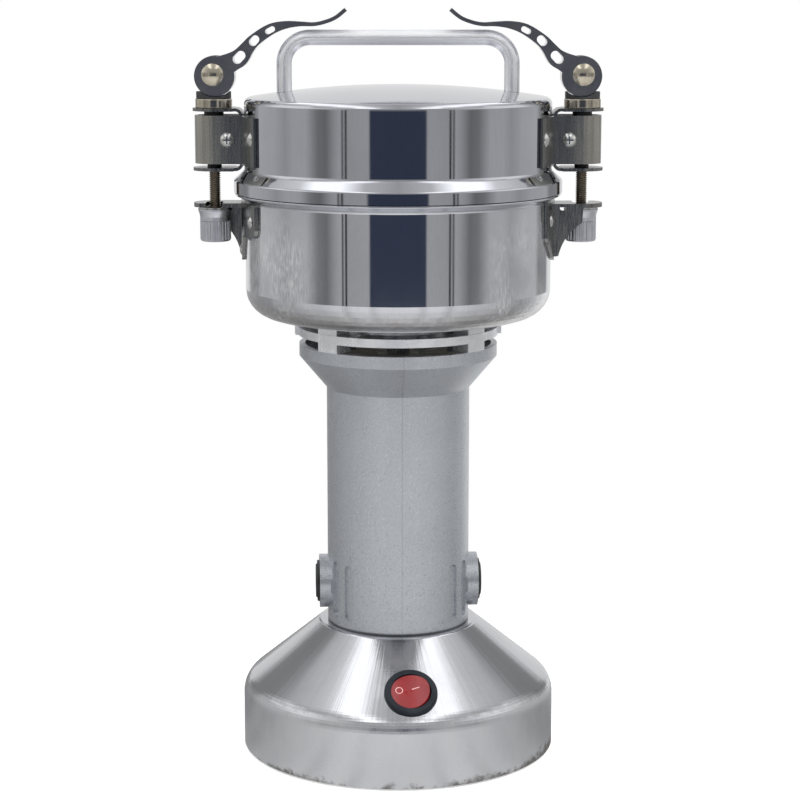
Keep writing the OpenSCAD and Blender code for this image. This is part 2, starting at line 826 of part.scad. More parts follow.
seal_hole_r = 11;
bowl_outline = [
  [seal_hole_r, bowl_z], [bowl_r, bowl_z], [bowl_r, bowl_flare_z], [bowl_rim_r, bowl_flare_z + rim_flare_h],
  [bowl_rim_r, bowl_top], [bowl_in + 0.6, bowl_top], [bowl_in, bowl_top - 1.4],
  [bowl_in, floor_z], [seal_hole_r, floor_z]
];
bowl_radii = [0, bowl_round, 1.2, 0.5, 0.4, 0.4, 1, bowl_round - bowl_wall, 0];
wing_rivet_a = wing_half - 3.8;
catch_rivet_angles = [-16, wing_rivet_a];
catch_rivet_z = catch_z - 4.5;
tongue_rivet_z = catch_z + catch_t + 1.2 - tongue_h + 4;

// Children at each rivet of a catch, with z outwards from the face of the bowl
module at_catch_rivets() {
  for (side = [0, 180]) rotate([0, 0, side]) {
    for (a = catch_rivet_angles)
      rotate([0, 0, a]) translate([bowl_r, 0, catch_rivet_z]) rotate([0, 90, 0]) children();
    translate([bowl_r, 0, tongue_rivet_z]) rotate([0, 90, 0]) children();
  }
}

module bowl() {
  color("lightsteelblue")
    difference() {
      turned_solid(rounded_loop(bowl_outline, bowl_radii));
      at_posts(bowl_screw_r) translate([0, 0, bowl_z - cut]) cylinder(r = tie_screw_r + seat_gap, h = 4);
      at_catch_rivets() translate([0, 0, -3]) cylinder(r = rivet_r + run_gap, h = 5);
    }
}

module bowl_screws() {
  color("silver")
    at_posts(bowl_screw_r) {
      translate([0, 0, floor_z]) domed_head(screw_head_r, screw_head_h);
      translate([0, 0, lug_z + 1.2]) cylinder(r = tie_screw_r, h = floor_z - lug_z - 1);
    }
}

module shaft_seal() {
  color("black")
    turned_solid([
      [shaft_top_r + run_gap, bowl_z + seat_gap], [seal_hole_r - seat_gap, bowl_z + seat_gap],
      [seal_hole_r - seat_gap, floor_z + seat_gap], [seal_hole_r + 3, floor_z + seat_gap],
      [seal_hole_r + 3, floor_z + 1.6],
      [shaft_top_r + 2.5, floor_z + 4.5], [shaft_top_r + run_gap, floor_z + 4.5]
    ]);
}

// Blades

// Plan of one half of a blade: broad at the root, swept and sharpened towards its tip
module blade_half(reach) {
  half = blade_w / 2;
  polygon([
    [0, -0.94 * half], [10, -half], [reach - 4, -0.7 * half], [reach, -0.18 * half],
    [reach - 2, 0.24 * half], [22, 0.76 * half], [10, half], [0, 0.94 * half]
  ]);
}

// Section along a blade: flat in the middle, and rising at both ends by the angle lift
function blade_strip(reach, bend_at, lift) =
  let (
    top_bend = bend_at - blade_t * tan(lift / 2),
    rise = (reach - bend_at) * tan(lift),
    up = blade_t / cos(lift)
  )
  [
    [-reach, rise], [-bend_at, 0], [bend_at, 0], [reach, rise],
    [reach, rise + up], [top_bend, blade_t], [-top_bend, blade_t], [-reach, rise + up]
  ];

// A blade cut from the bent strip, with its reach measured along the strip
module blade(length, bend_at, lift, z) {
  reach = bend_at + (length - bend_at) * cos(lift);
  translate([0, 0, z])
    difference() {
      intersection() {
        translate([0, 0, -cut]) linear_extrude(reach) for (side = [0, 180]) rotate(side) blade_half(reach);
        rotate([90, 0, 0])
          linear_extrude(40, center = true) polygon(blade_strip(reach + cut, bend_at, lift));
      }
      translate([0, 0, -cut]) cylinder(r = stud_r + run_gap, h = blade_t + 2 * cut);
    }
}

module lower_blade() {
  color("silver") blade(blade_reach, 26, 0, blade_z);
}

module middle_blade() {
  color("silver") rotate([0, 0, 62]) blade(blade_reach - 3, 26, 16, blade_z + blade_pitch);
}

module upper_blade() {
  color("silver") rotate([0, 0, 118]) blade(blade_reach - 9, 22, 30, blade_z + 2 * blade_pitch);
}

module blade_spacers() {
  color("silver")
    for (i = [0, 1])
      translate([0, 0, blade_z + blade_t + i * blade_pitch]) tube(8, stud_r + run_gap, blade_gap);
}

module blade_nut() {
  color("silver")
    translate([0, 0, blade_z + 2 * blade_pitch + blade_t])
      difference() {
        union() {
          cylinder(r = 8, h = 1.2);
          hexagon(13, 7);
        }
        translate([0, 0, -cut]) cylinder(r = stud_r + run_gap, h = 10);
      }
}

// Catches on the bowl: a leaf riveted to the wall, a slotted plate and one side web

leaf_top = bowl_flare_z - 0.4;
leaf_r = bowl_r + leaf_t;
web_y = nut_flange_r + 0.4;
open_y = catch_end_r * 0.72;

// Outline of the leaf seen from outside: [along Y, down from its top], with its corner radii
leaf_end = leaf_r * sin(wing_half + 0.5);
leaf_points = [
  [leaf_end, 0], [leaf_end, -leaf_h], [12, -leaf_h], [5, -tongue_h], [-5, -tongue_h], [-11, 1.5 - tongue_h],
  [-23, -leaf_h - 2], [-23, 0]
];
leaf_radii = [1, 3.5, 3, 2.5, 2.5, 3, 3, 1];

// Outline of the side web, from the plate down to the leaf, with a drawn-in outer edge
web_low = leaf_top - tongue_h + 2;
web_points = concat(
  [[bowl_r, web_low], [bowl_r, catch_z + 0.1], [rod_x + 0.2, catch_z + 0.1], [rod_x + 0.2, catch_z - 2.4]],
  arc([rod_x + 11.7, web_low - 4.4], 22.2, 122, 168, ARC),
  [[leaf_r + 0.2, web_low]]
);

module catch_plate(right) {
  difference() {
    union() {
      // leaf, cut to its outline out of a ring
      intersection() {
        ring_piece(bowl_r + seat_gap, leaf_r, leaf_top - tongue_h - cut, leaf_top, 2 * wing_half + 8);
        rotate([90, 0, 90])
          translate([0, leaf_top + 0.01, 10])
            linear_extrude(100) polygon(rounded_loop(leaf_points, leaf_radii));
      }
      // plate with a round end, trimmed on both sides
      difference() {
        intersection() {
          union() {
            translate([bowl_r - 4, -15, catch_z]) cube([rod_x - bowl_r + 4, 30, catch_t]);
            translate([rod_x, 0, catch_z]) cylinder(r = catch_end_r, h = catch_t);
          }
          translate([bowl_r - 6, -web_y - leaf_t, catch_z - cut]) cube([60, web_y + leaf_t + open_y, 10]);
        }
        translate([0, 0, catch_z - cut]) cylinder(r = bowl_r + seat_gap, h = 10);
      }
      // side web
      difference() {
        translate([0, -web_y - leaf_t / 2, 0]) upright(leaf_t) polygon(web_points);
        translate([0, 0, catch_z - 40]) cylinder(r = bowl_r + seat_gap, h = 60);
      }
    }
    // slot, with a round end behind the rod
    translate([rod_x, 0, catch_z - cut]) cylinder(r = catch_slot_w / 2, h = catch_t + 2 * cut);
    translate([rod_x - catch_slot_w / 2, 0, catch_z - cut]) cube([catch_slot_w, 20, catch_t + 2 * cut]);
    // relief in the bend between the plate and the web
    translate([leaf_r + 3, -web_y + 2, catch_z + 0.2]) rotate([90, 0, 0]) cylinder(r = 1.3, h = 8);
    on_side(right) at_catch_rivets() translate([0, 0, -3]) cylinder(r = rivet_r + run_gap, h = 6);
  }
}

module catch_left() {
  color("lightslategray") on_side(false) catch_plate(false);
}

module catch_right() {
  color("lightslategray") on_side(true) catch_plate(true);
}

// Rivet through a wall of thickness back_t under a leaf of thickness front_t, z = 0 on the wall
module rivet(head_r, head_h, front_t, back_t) {
  translate([0, 0, front_t + seat_gap]) domed_head(head_r, head_h);
  translate([0, 0, -back_t - seat_gap - 0.1])
    cylinder(r = rivet_r, h = back_t + front_t + 2 * seat_gap + 0.2);
  translate([0, 0, -back_t - seat_gap]) rotate([180, 0, 0]) domed_head(2.6, 0.8);
}

module catch_rivets() {
  color("silver") at_catch_rivets() rivet(2.6, 1, leaf_t, bowl_wall);
}

// Clamp nuts and washers

knurl_h = 7.8;
knurl_z = 0.8;

module clamp_washers() {
  color("lightgray")
    for (right = [true, false]) on_side(right)
      translate([rod_x, 0, washer_top - washer_t]) tube(nut_flange_r - 0.3, rod_r + seat_gap, washer_t);
}

// Outline of the fluted part: one round-bottomed groove for each flute
function fluted(r, n, depth) = [
  for (i = [0:n - 1], p = [[0, 0], [0.3, 0], [0.5, depth], [0.75, depth], [0.95, 0]])
    on_circle(r - p[1], 360 * (i + p[0]) / n)
];

module clamp_nut(right) {
  on_side(right)
    translate([rod_x, 0, nut_top - nut_h])
      difference() {
        union() {
          turned_solid([
            [0, 0], [nut_r - 0.9, 0], [nut_r - 0.3, 0.3], [nut_r - 0.3, knurl_z], [nut_r - 0.35, knurl_z],
            [nut_r - 0.35, knurl_z + knurl_h], [nut_r, knurl_z + knurl_h + 0.3], [nut_r, nut_h - 3.4],
            [nut_r + 0.15, nut_h - 2.4], [nut_r + 0.4, nut_h - 1.6],
            [nut_flange_r, nut_h - 0.7], [nut_flange_r, nut_h], [0, nut_h]
          ]);
          translate([0, 0, knurl_z]) linear_extrude(knurl_h) polygon(fluted(nut_r, nut_flutes, 0.4));
        }
        translate([0, 0, -cut]) cylinder(r = rod_r + run_gap, h = nut_h + 2 * cut);
      }
}

module clamp_nut_left() {
  color("lightgray") clamp_nut(false);
}

module clamp_nut_right() {
  color("lightgray") clamp_nut(true);
}

// Lid

crown_r = bowl_r - lid_round;
crown_ball = (crown_r * crown_r + crown_h * crown_h) / (2 * crown_h);
function crown_z(r) = lid_top - crown_ball + sqrt(crown_ball * crown_ball - r * r);
crown_steps = 10;
edge_slope = crown_r / sqrt(crown_ball * crown_ball - crown_r * crown_r);
lid_path = concat(
  [for (i = [0:crown_steps]) let (r = crown_r * i / crown_steps) [r, crown_z(r)]],
  [
    [bowl_r, crown_z(crown_r) - edge_slope * lid_round],
    [bowl_r, lid_wall_z], [lid_band_r, band_top], [lid_band_r, lid_z]
  ]
);
lid_radii = concat([for (i = [0:crown_steps]) 0], [lid_round, 2.5, 1.4, 0]);
strap_rivet_z = strap_z + strap_h * 0.56;
leg_x = handle_span / 2;

// Children at the rivets of both straps, with z outwards from the face of the lid wall
module at_strap_rivets() {
  for (a = [-wing_rivet_a, wing_rivet_a, 180 - wing_rivet_a, 180 + wing_rivet_a])
    rotate([0, 0, a]) translate([bowl_r, 0, strap_rivet_z]) rotate([0, 90, 0]) children();
}

module lid_shell() {
  color("lightsteelblue")
    difference() {
      turned_solid(sheet(lid_path, lid_radii, -lid_wall));
      for (x = [-leg_x, leg_x])
        translate([x, 0, lid_edge_z - 5]) cylinder(r = leg_screw_r + seat_gap, h = 20);
      at_strap_rivets() translate([0, 0, -3]) cylinder(r = rivet_r + run_gap, h = 5);
    }
}

module lid_seal() {
  seal_in = bowl_in + 0.6;
  seal_out = lid_band_r - lid_wall - seat_gap;
  seal_top = lid_z + 4.2;
  color("white")
    turned_solid(rounded(
      [
        [seal_in, lid_z + 2], [seal_in, lid_z], [seal_out, lid_z], [seal_out, seal_top],
        [seal_in, seal_top], [seal_in, lid_z + 2]
      ],
      [0, 0.8, 0.8, 0.8, 0.8, 0]
    ));
}

// Handle

handle_z = lid_top + handle_rise;
handle_r = handle_d / 2;

module lid_handle() {
  color("silver")
    difference() {
      union() {
        translate([-leg_x + handle_bend, 0, handle_z])
          rotate([0, 90, 0]) cylinder(r = handle_r, h = handle_span - 2 * handle_bend);
        for (side = [0, 180]) rotate([0, 0, side]) {
          translate([leg_x, 0, lid_edge_z - 2])
            cylinder(r = handle_r, h = handle_z - handle_bend - lid_edge_z + 2);
          translate([leg_x - handle_bend, 0, handle_z - handle_bend])
            rotate([90, 0, 0]) rotate_extrude(angle = 90) translate([handle_bend, 0]) circle(r = handle_r);
        }
      }
      turned_solid(concat(
        [[0, lid_edge_z - 10]],
        [for (i = [0:crown_steps]) let (r = crown_r * i / crown_steps) [r, crown_z(r) + run_gap]],
        [[crown_r, lid_edge_z - 10]]
      ));
      for (x = [-leg_x, leg_x])
        translate([x, 0, lid_edge_z - 5])
          cylinder(r = leg_screw_r + run_gap, h = 5 + crown_z(leg_x) - lid_edge_z + 9);
    }
}

module handle_screws() {
  color("silver")
    for (x = [-leg_x, leg_x]) translate([x, 0, 0]) {
      translate([0, 0, crown_z(leg_x + 4) - lid_wall - 0.1]) rotate([180, 0, 0]) domed_head(4, 2);
      translate([0, 0, crown_z(leg_x + 4) - lid_wall - 0.4]) cylinder(r = leg_screw_r, h = 9);
    }
}

// Latches on the lid

strap_out_r = strap_in_r + strap_t;
clamp_screw_x = rod_x - 6;
clamp_screw_z = strap_z + strap_h / 2;

// The strap seen from above: wing, flat, half round, flat, wing. Its inner face is the path.
wing_r = bowl_r + seat_gap;
flat_a = asin(strap_in_r / wing_r);
strap_path = concat(
  [for (i = [0:6]) on_circle(wing_r, -wing_half + (wing_half - flat_a) * i / 6)],
  arc([rod_x, 0], strap_in_r, -90, 90, 16),
  [for (i = [6:-1:0]) on_circle(wing_r, wing_half - (wing_half - flat_a) * i / 6)]
);

module strap(right) {
  on_side(right)
    difference() {
      translate([0, 0, strap_z])
        linear_extrude(strap_h) polygon(sheet(strap_path, [for (p = strap_path) 0], -strap_t));
      translate([clamp_screw_x, 20, clamp_screw_z])
        rotate([90, 0, 0]) cylinder(r = clamp_screw_r + run_gap, h = 40);
      at_strap_rivets() translate([0, 0, -2]) cylinder(r = rivet_r + run_gap, h = 6);
    }
}

module strap_left() {
  color("dimgray") strap(false);
}

module strap_right() {
  color("dimgray") strap(true);
}

module strap_rivets() {
  color("silver") at_strap_rivets() rivet(3, 1.2, strap_t, lid_wall);
}

// Screw through both flats of each strap, head to the front, nut to the back
module strap_screws() {
  color("silver")
    for (x = [-clamp_screw_x, clamp_screw_x])
      translate([x, 0, clamp_screw_z])
        rotate([90, 0, 0])
          difference() {
            union() {
              translate([0, 0, strap_out_r + run_gap]) domed_head(3.1, 1.7);
              translate([0, 0, -strap_out_r - 3]) cylinder(r = clamp_screw_r, h = 2 * strap_out_r + 3.2);
              translate([0, 0, -strap_out_r - 2.4]) hexagon(5.5, 2.3);
            }
            translate([0, 0, strap_out_r + 1])
              for (a = [0, 90]) rotate([0, 0, a]) translate([-1.7, -0.3, 0]) cube([3.4, 0.6, 2]);
          }
}

// Bracket of bent sheet: a web behind the rod guide and a round-ended flange above and below
web_x = bowl_r + 0.2;
bend_r = 2;
web_half_w = strap_in_r - 0.3;

module latch_bracket(right) {
  on_side(right)
    difference() {
      intersection() {
        upright(4 * flange_r)
          polygon(sheet(
            [
              [rod_x + flange_r + 1, flange_low], [web_x, flange_low],
              [web_x, flange_top], [rod_x + flange_r + 1, flange_top]
            ],
            [0, bend_r + flange_t, bend_r + flange_t, 0],
            -flange_t
          ));
        union() {
          for (z = [flange_low - 1, strap_top + face_gap])
            translate([0, 0, z]) linear_extrude(flange_top - strap_top - face_gap + 1) {
              translate([rod_x, 0]) circle(r = flange_r);
              translate([web_x - 1, -web_half_w]) square([rod_x - web_x + 1, 2 * web_half_w]);
              translate([web_x + 4, -flange_r]) square([rod_x - web_x - 4, 2 * flange_r]);
            }
          translate([web_x - 1, -web_half_w, flange_low])
            cube([8, 2 * web_half_w, flange_top - flange_low]);
        }
      }
      translate([rod_x, 0, flange_low - cut])
        cylinder(r = rod_r + face_gap, h = flange_top - flange_low + 2 * cut);
    }
}

module latch_bracket_left() {
  color("slategray") latch_bracket(false);
}

module latch_bracket_right() {
  color("slategray") latch_bracket(true);
}

// Plastic guide inside the strap, with a boss that reaches each flange of the bracket
guide_r = strap_in_r - seat_gap;
guide_x0 = web_x + flange_t + seat_gap;

module rod_guide(right) {
  on_side(right)
    difference() {
      union() {
        translate([rod_x, 0, strap_z]) cylinder(r = guide_r, h = strap_h);
        translate([guide_x0, -web_half_w, strap_z]) cube([rod_x - guide_x0, 2 * web_half_w, strap_h]);
        translate([rod_x, 0, flange_low + flange_t + seat_gap])
          cylinder(r = rod_r + 0.6, h = 2 * flange_gap);
        translate([rod_x, 0, strap_top - cut]) cylinder(r = rod_r + 1.7, h = flange_gap - seat_gap + cut);
      }
      translate([rod_x, 0, flange_low]) cylinder(r = rod_r + run_gap, h = flange_top - flange_low);
      translate([clamp_screw_x, 20, clamp_screw_z])
        rotate([90, 0, 0]) cylinder(r = clamp_screw_r + run_gap, h = 40);
    }
}

module rod_guide_left() {
  color("black") rod_guide(false);
}

module rod_guide_right() {
  color("black") rod_guide(true);
}

rod_low = nut_top - nut_h + 3;
rod_len = pin_z + 1 - rod_low;

module clamp_rod(right) {
  on_side(right)
    translate([rod_x, 0, rod_low])
      turned_solid([[0, 0], [rod_r - 0.5, 0], [rod_r, 0.5], [rod_r, rod_len], [0, rod_len]]);
}

module clamp_rod_left() {
  color("darkgray") clamp_rod(false);
}

module clamp_rod_right() {
  color("darkgray") clamp_rod(true);
}

module thrust_rings() {
  color("silver")
    for (right = [true, false]) on_side(right)
      translate([rod_x, 0, flange_top])
        difference() {
          turned_solid(rounded([[0, 0], [ring_r, 0], [ring_r, thrust_h], [0, thrust_h]], [0, 0.4, 0.4, 0]));
          translate([0, 0, -cut]) cylinder(r = rod_r + seat_gap, h = thrust_h + 2 * cut);
        }
}

module saddle(right) {
  on_side(right)
    difference() {
      translate([rod_x, 0, thrust_top]) cylinder(r = saddle_r, h = saddle_h);
      translate([rod_x - cam_offset[0], 20, cam_bottom + cam_r])
        rotate([90, 0, 0]) cylinder(r = cam_r + slide_gap, h = 40);
      translate([rod_x, 0, thrust_top - cut]) cylinder(r = rod_r + seat_gap, h = saddle_h + 2 * cut);
    }
}

module saddle_left() {
  color("black") saddle(false);
}

module saddle_right() {
  color("black") saddle(true);
}

// Barrel pin across the lever: the rod screws into it from below
module barrel_pin(right) {
  on_side(right)
    translate([rod_x, 0, pin_z])
      difference() {
        rotate([90, 0, 0]) {
          translate([0, 0, -lever_w / 2 - slide_gap]) cylinder(r = pin_r, h = lever_w + 2 * slide_gap);
          for (end = [0, 180])
            rotate([end, 0, 0]) translate([0, 0, lever_w / 2 + slide_gap]) domed_head(pin_head_r, 1.5);
        }
        translate([0, 0, -pin_r - cut]) cylinder(r = rod_r + run_gap, h = pin_r + cut + 1.2);
      }
}

module pin_left() {
  color("darkkhaki") barrel_pin(false);
}

module pin_right() {
  color("darkkhaki") barrel_pin(true);
}

// Lever: stations along an arm that reaches 56 mm in, each [inwards from the pin, up from it, half height]
arm_shape = [
  [2, 2, 5.4], [8.1, 5.2, 4], [11.6, 7.2, 3.75], [14.7, 11, 2.95], [17.9, 14.4, 2.6],
  [24.6, 18.8, 2.3], [30.9, 20.6, 1.6], [36.9, 21, 1], [42.8, 20.9, 0.8], [47.8, 22, 0.8],
  [52, 23.8, 0.8], [56, 27, 0.8]
];
arm_stations = [for (s = arm_shape) s * lever_reach / 56];
// Oval holes in that arm: [inwards, up, long axis, short axis, lean in degrees]
arm_holes = [[11.3, 7.2, 6, 3.9, 46], [17.7, 14.1, 4.8, 3.4, 48], [24.4, 18.4, 4.4, 2.4, 28]];

// Point t of the way from station i to station i + 1, on a curve through all stations
function arm_at(i, t) =
  let (
    last = len(arm_stations) - 1,
    a = arm_stations[max(i - 1, 0)],
    b = arm_stations[i],
    c = arm_stations[min(i + 1, last)],
    d = arm_stations[min(i + 2, last)]
  )
  0.5 * (2 * b + (c - a) * t + (2 * a - 5 * b + 4 * c - d) * t * t + (3 * b - a - 3 * c + d) * t * t * t);

arm_steps = 4;
arm_curve = [for (i = [0:len(arm_stations) - 2], j = [0:arm_steps - 1]) arm_at(i, j / arm_steps)];
arm_line = concat(arm_curve, [arm_stations[len(arm_stations) - 1]]);

function arm_edge(side) = [
  for (i = [0:len(arm_line) - 1])
    let (
      last = len(arm_line) - 1,
      here = arm_line[i],
      ahead = arm_line[min(i + 1, last)] - arm_line[max(i - 1, 0)],
      n = left_of(unit([ahead[0], ahead[1]]))
    )
    [here[0], here[1]] + side * here[2] * n
];

// Cutter for one oval hole, in the side view of a lever
module oval(shape) {
  hole = concat([for (i = [0:3]) shape[i] * lever_reach / 56], [shape[4]]);
  span = (hole[2] - hole[3]) / 2;
  translate([hole[0], 0, hole[1]]) rotate([0, -hole[4], 0]) {
    translate([-span, -lever_w, -hole[3] / 2]) cube([2 * span, 2 * lever_w, hole[3]]);
    for (x = [-span, span])
      translate([x, lever_w, 0])
        rotate([90, 0, 0]) cylinder(r = hole[3] / 2, h = 2 * lever_w, $fn = 48);
  }
}

// One lever, with its arm drawn towards +X from the pin and then mirrored to reach inwards
module lever(right) {
  on_side(right)
    translate([rod_x, 0, pin_z])
      mirror([1, 0, 0])
        difference() {
          union() {
            translate([cam_offset[0], lever_w / 2, -cam_offset[1]])
              rotate([90, 0, 0]) cylinder(r = cam_r, h = lever_w);
            upright(lever_w) polygon(concat(arm_edge(1), back(arm_edge(-1))));
          }
          // slot between the cheeks, open below, behind and above the pin
          translate([-20, -fork_w / 2, -20]) cube([20 + pin_r + 1, fork_w, 40]);
          // bores for the pin, one in each cheek
          translate([0, lever_w, 0]) rotate([90, 0, 0]) cylinder(r = pin_r + run_gap, h = 2 * lever_w);
          for (hole = arm_holes) oval(hole);
        }
}

module lever_left() {
  color("dimgray") lever(false);
}

module lever_right() {
  color("dimgray") lever(true);
}

base_shell();
base_plate();
base_feet();
base_screws();
cord_gland();
switch_body();
switch_rocker();
motor_housing();
end_bracket();
stator_core();
field_coils();
lower_bearing();
upper_bearing();
brush_holders();
carbon_brushes();
brush_springs();
brush_cap(1);  // brush_cap_left
brush_cap(0);  // brush_cap_right
motor_shaft();
armature_core();
armature_windings();
commutator();
cooling_fan();
bowl();
bowl_screws();
shaft_seal();
lower_blade();
middle_blade();
upper_blade();
blade_spacers();
blade_nut();
catch_left();
catch_right();
catch_rivets();
clamp_washers();
clamp_nut_left();
clamp_nut_right();
lid_shell();
lid_seal();
lid_handle();
handle_screws();
strap_left();
strap_right();
strap_rivets();
strap_screws();
latch_bracket_left();
latch_bracket_right();
rod_guide_left();
rod_guide_right();
clamp_rod_left();
clamp_rod_right();
thrust_rings();
saddle_left();
saddle_right();
pin_left();
pin_right();
lever_left();
lever_right();
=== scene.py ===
import bmesh
import bpy
import json
import math
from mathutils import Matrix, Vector


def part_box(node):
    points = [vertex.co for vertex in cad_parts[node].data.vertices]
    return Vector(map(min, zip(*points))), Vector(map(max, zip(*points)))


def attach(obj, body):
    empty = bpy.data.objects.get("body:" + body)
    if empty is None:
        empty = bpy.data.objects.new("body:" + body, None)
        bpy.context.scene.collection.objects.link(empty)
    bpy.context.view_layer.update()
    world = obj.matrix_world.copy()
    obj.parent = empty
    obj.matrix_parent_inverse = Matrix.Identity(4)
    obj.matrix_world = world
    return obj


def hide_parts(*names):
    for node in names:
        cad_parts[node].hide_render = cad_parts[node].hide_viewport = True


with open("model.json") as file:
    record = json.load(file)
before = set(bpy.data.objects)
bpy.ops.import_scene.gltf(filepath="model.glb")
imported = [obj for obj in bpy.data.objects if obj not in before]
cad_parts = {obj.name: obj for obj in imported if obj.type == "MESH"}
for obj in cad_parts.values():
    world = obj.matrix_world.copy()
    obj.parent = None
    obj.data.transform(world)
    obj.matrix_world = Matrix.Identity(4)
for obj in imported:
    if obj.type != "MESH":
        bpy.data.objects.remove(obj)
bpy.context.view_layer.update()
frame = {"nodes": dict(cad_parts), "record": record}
nodes = frame["nodes"]
MM = 0.001


# Camera. It stands in front of the mill at the height of the lid and looks a little down.
camera_data = bpy.data.cameras.new("camera")
camera_data.sensor_width = 36
camera_data.lens = 99.85
camera_data.shift_x = 0.0024
camera = bpy.data.objects.new("camera", camera_data)
camera.location = (0, -0.945, 0.327)
camera.rotation_euler = (math.radians(79.56), 0, 0)
bpy.context.scene.collection.objects.link(camera)
bpy.context.scene.camera = camera
bpy.context.scene.view_settings.view_transform = "Standard"


# Studio. A white room holds a round tent of grey cloth, which only the metal mirrors: its front
# has a dark opening for the camera and thin seams beside it, and two long soft boxes hang above.
def add_node(tree, kind, inputs=(), **settings):
    """Adds a shader node. A value in inputs that is a socket is linked, and any other is set."""
    made = tree.nodes.new("ShaderNode" + kind)
    for name, value in settings.items():
        setattr(made, name, value)
    for name, value in dict(inputs).items():
        if isinstance(value, bpy.types.NodeSocket):
            tree.links.new(value, made.inputs[name])
        else:
            made.inputs[name].default_value = value
    return made


def math_node(tree, operation, first, second=0.0, third=0.0):
    inputs = {0: first, 1: second, 2: third}
    return add_node(tree, "Math", inputs, operation=operation).outputs[0]


def ramp(tree, value, stops, smooth=False):
    """A colour ramp; each stop is (place, colour or grey)."""
    made = add_node(tree, "ValToRGB", {"Fac": value})
    made.color_ramp.interpolation = "EASE" if smooth else "LINEAR"
    elements = made.color_ramp.elements
    while len(elements) > 1:
        elements.remove(elements[0])
    for i, (place, colour) in enumerate(stops):
        spot = elements[0] if i == 0 else elements.new(place)
        spot.position = place
        rgb = (colour,) * 3 if isinstance(colour, (int, float)) else colour
        spot.color = (*rgb, 1)
    return made.outputs["Color"]


def remap(tree, value, low, high, to_low=0.0, to_high=1.0, **settings):
    inputs = {"Value": value, "From Min": low, "From Max": high, "To Min": to_low, "To Max": to_high}
    return add_node(tree, "MapRange", inputs, **settings).outputs["Result"]


def split(tree, vector):
    """The X, Y and Z of a vector."""
    return add_node(tree, "SeparateXYZ", {0: vector}).outputs


def length(tree, vector):
    return add_node(tree, "VectorMath", {0: vector}, operation="LENGTH").outputs["Value"]


def from_front(tree, place):
    """The angle in radians from the front (-Y) towards the right (+X)."""
    xyz = split(tree, place)
    return math_node(tree, "ARCTAN2", xyz["X"], math_node(tree, "MULTIPLY", xyz["Y"], -1.0))


def plain_rays(tree):
    """1 for what the camera, metal or glass looks at, and 0 for light that falls on things."""
    path = add_node(tree, "LightPath")
    seen = math_node(tree, "MAXIMUM", path.outputs["Is Camera Ray"], path.outputs["Is Glossy Ray"])
    return math_node(tree, "MAXIMUM", seen, path.outputs["Is Transmission Ray"])


def deselect_all():
    if bpy.context.object and bpy.context.object.mode != "OBJECT":
        bpy.ops.object.mode_set(mode="OBJECT")
    bpy.ops.object.select_all(action="DESELECT")


def emitting(name, colour=(1, 1, 1), strength=1.0):
    """A material that shines evenly, as lit cloth or card does in a mirror."""
    material = bpy.data.materials.new(name)
    material.use_nodes = True
    tree = material.node_tree
    tree.nodes.clear()
    glow = add_node(tree, "Emission", {"Color": (*colour, 1), "Strength": strength})
    add_node(tree, "OutputMaterial", {"Surface": glow.outputs[0]})
    return material, tree, glow


AMBIENT = 0.55
world = bpy.data.worlds.new("white room")
bpy.context.scene.world = world
world.use_nodes = True
tree = world.node_tree
tree.nodes.clear()
strength = math_node(tree, "MULTIPLY_ADD", plain_rays(tree), 1 - AMBIENT, AMBIENT)
background = add_node(tree, "Background", {"Color": (1, 1, 1, 1), "Strength": strength})
add_node(tree, "OutputWorld", {"Surface": background.outputs[0]})

# Tent wall: what a mirror sees at each angle from the front, in degrees, as (angle, grey). The
# upper part is brighter, and only rounded edges and the cone of the base mirror it.
TENT_R = 1.35
TENT_H = 1.7
LOWER_END = 0.4
UPPER_START = 0.6
DARK_BLUE = (0.045, 0.056, 0.09)
tent_greys = [
    (0, DARK_BLUE), (20, DARK_BLUE), (20.6, 0.46), (36.8, 0.42), (37.2, 0.02), (38.1, 0.02),
    (38.4, 0.42), (39.4, 0.42), (39.7, 0.02), (40.6, 0.02), (41, 0.5), (46, 0.4), (53, 0.2), (60, 0.24),
    (70, 0.5), (82, 0.5), (90, 0.42), (102, 0.52), (122, 0.55), (128, 0.3), (144, 0.3), (150, 0.82)
]
upper_greys = [
    (0, 0.42), (35, 0.44), (60, 0.75), (80, 1.05), (104, 1.05), (122, 0.5), (130, 0.3), (144, 0.3),
    (150, 0.82)
]
deselect_all()
bpy.ops.mesh.primitive_cylinder_add(
    vertices=128, radius=TENT_R, depth=TENT_H, end_fill_type="NOTHING", location=(0, 0, TENT_H / 2))
tent = bpy.context.object
tent.name = "tent_wall"
material, tree, glow = emitting("tent cloth")
place = add_node(tree, "TexCoord").outputs["Object"]
angle = math_node(tree, "ABSOLUTE", from_front(tree, place))
share = math_node(tree, "DIVIDE", angle, math.pi)
below = ramp(tree, share, [(a / 180, grey) for a, grey in tent_greys])
above = ramp(tree, share, [(a / 180, grey) for a, grey in upper_greys])
raised = remap(tree, split(tree, place)["Z"], LOWER_END - TENT_H / 2, UPPER_START - TENT_H / 2)
blend = add_node(tree, "MixRGB", {0: raised, 1: below, 2: above}).outputs[0]
tree.links.new(blend, glow.inputs["Color"])
tent.data.materials.append(material)

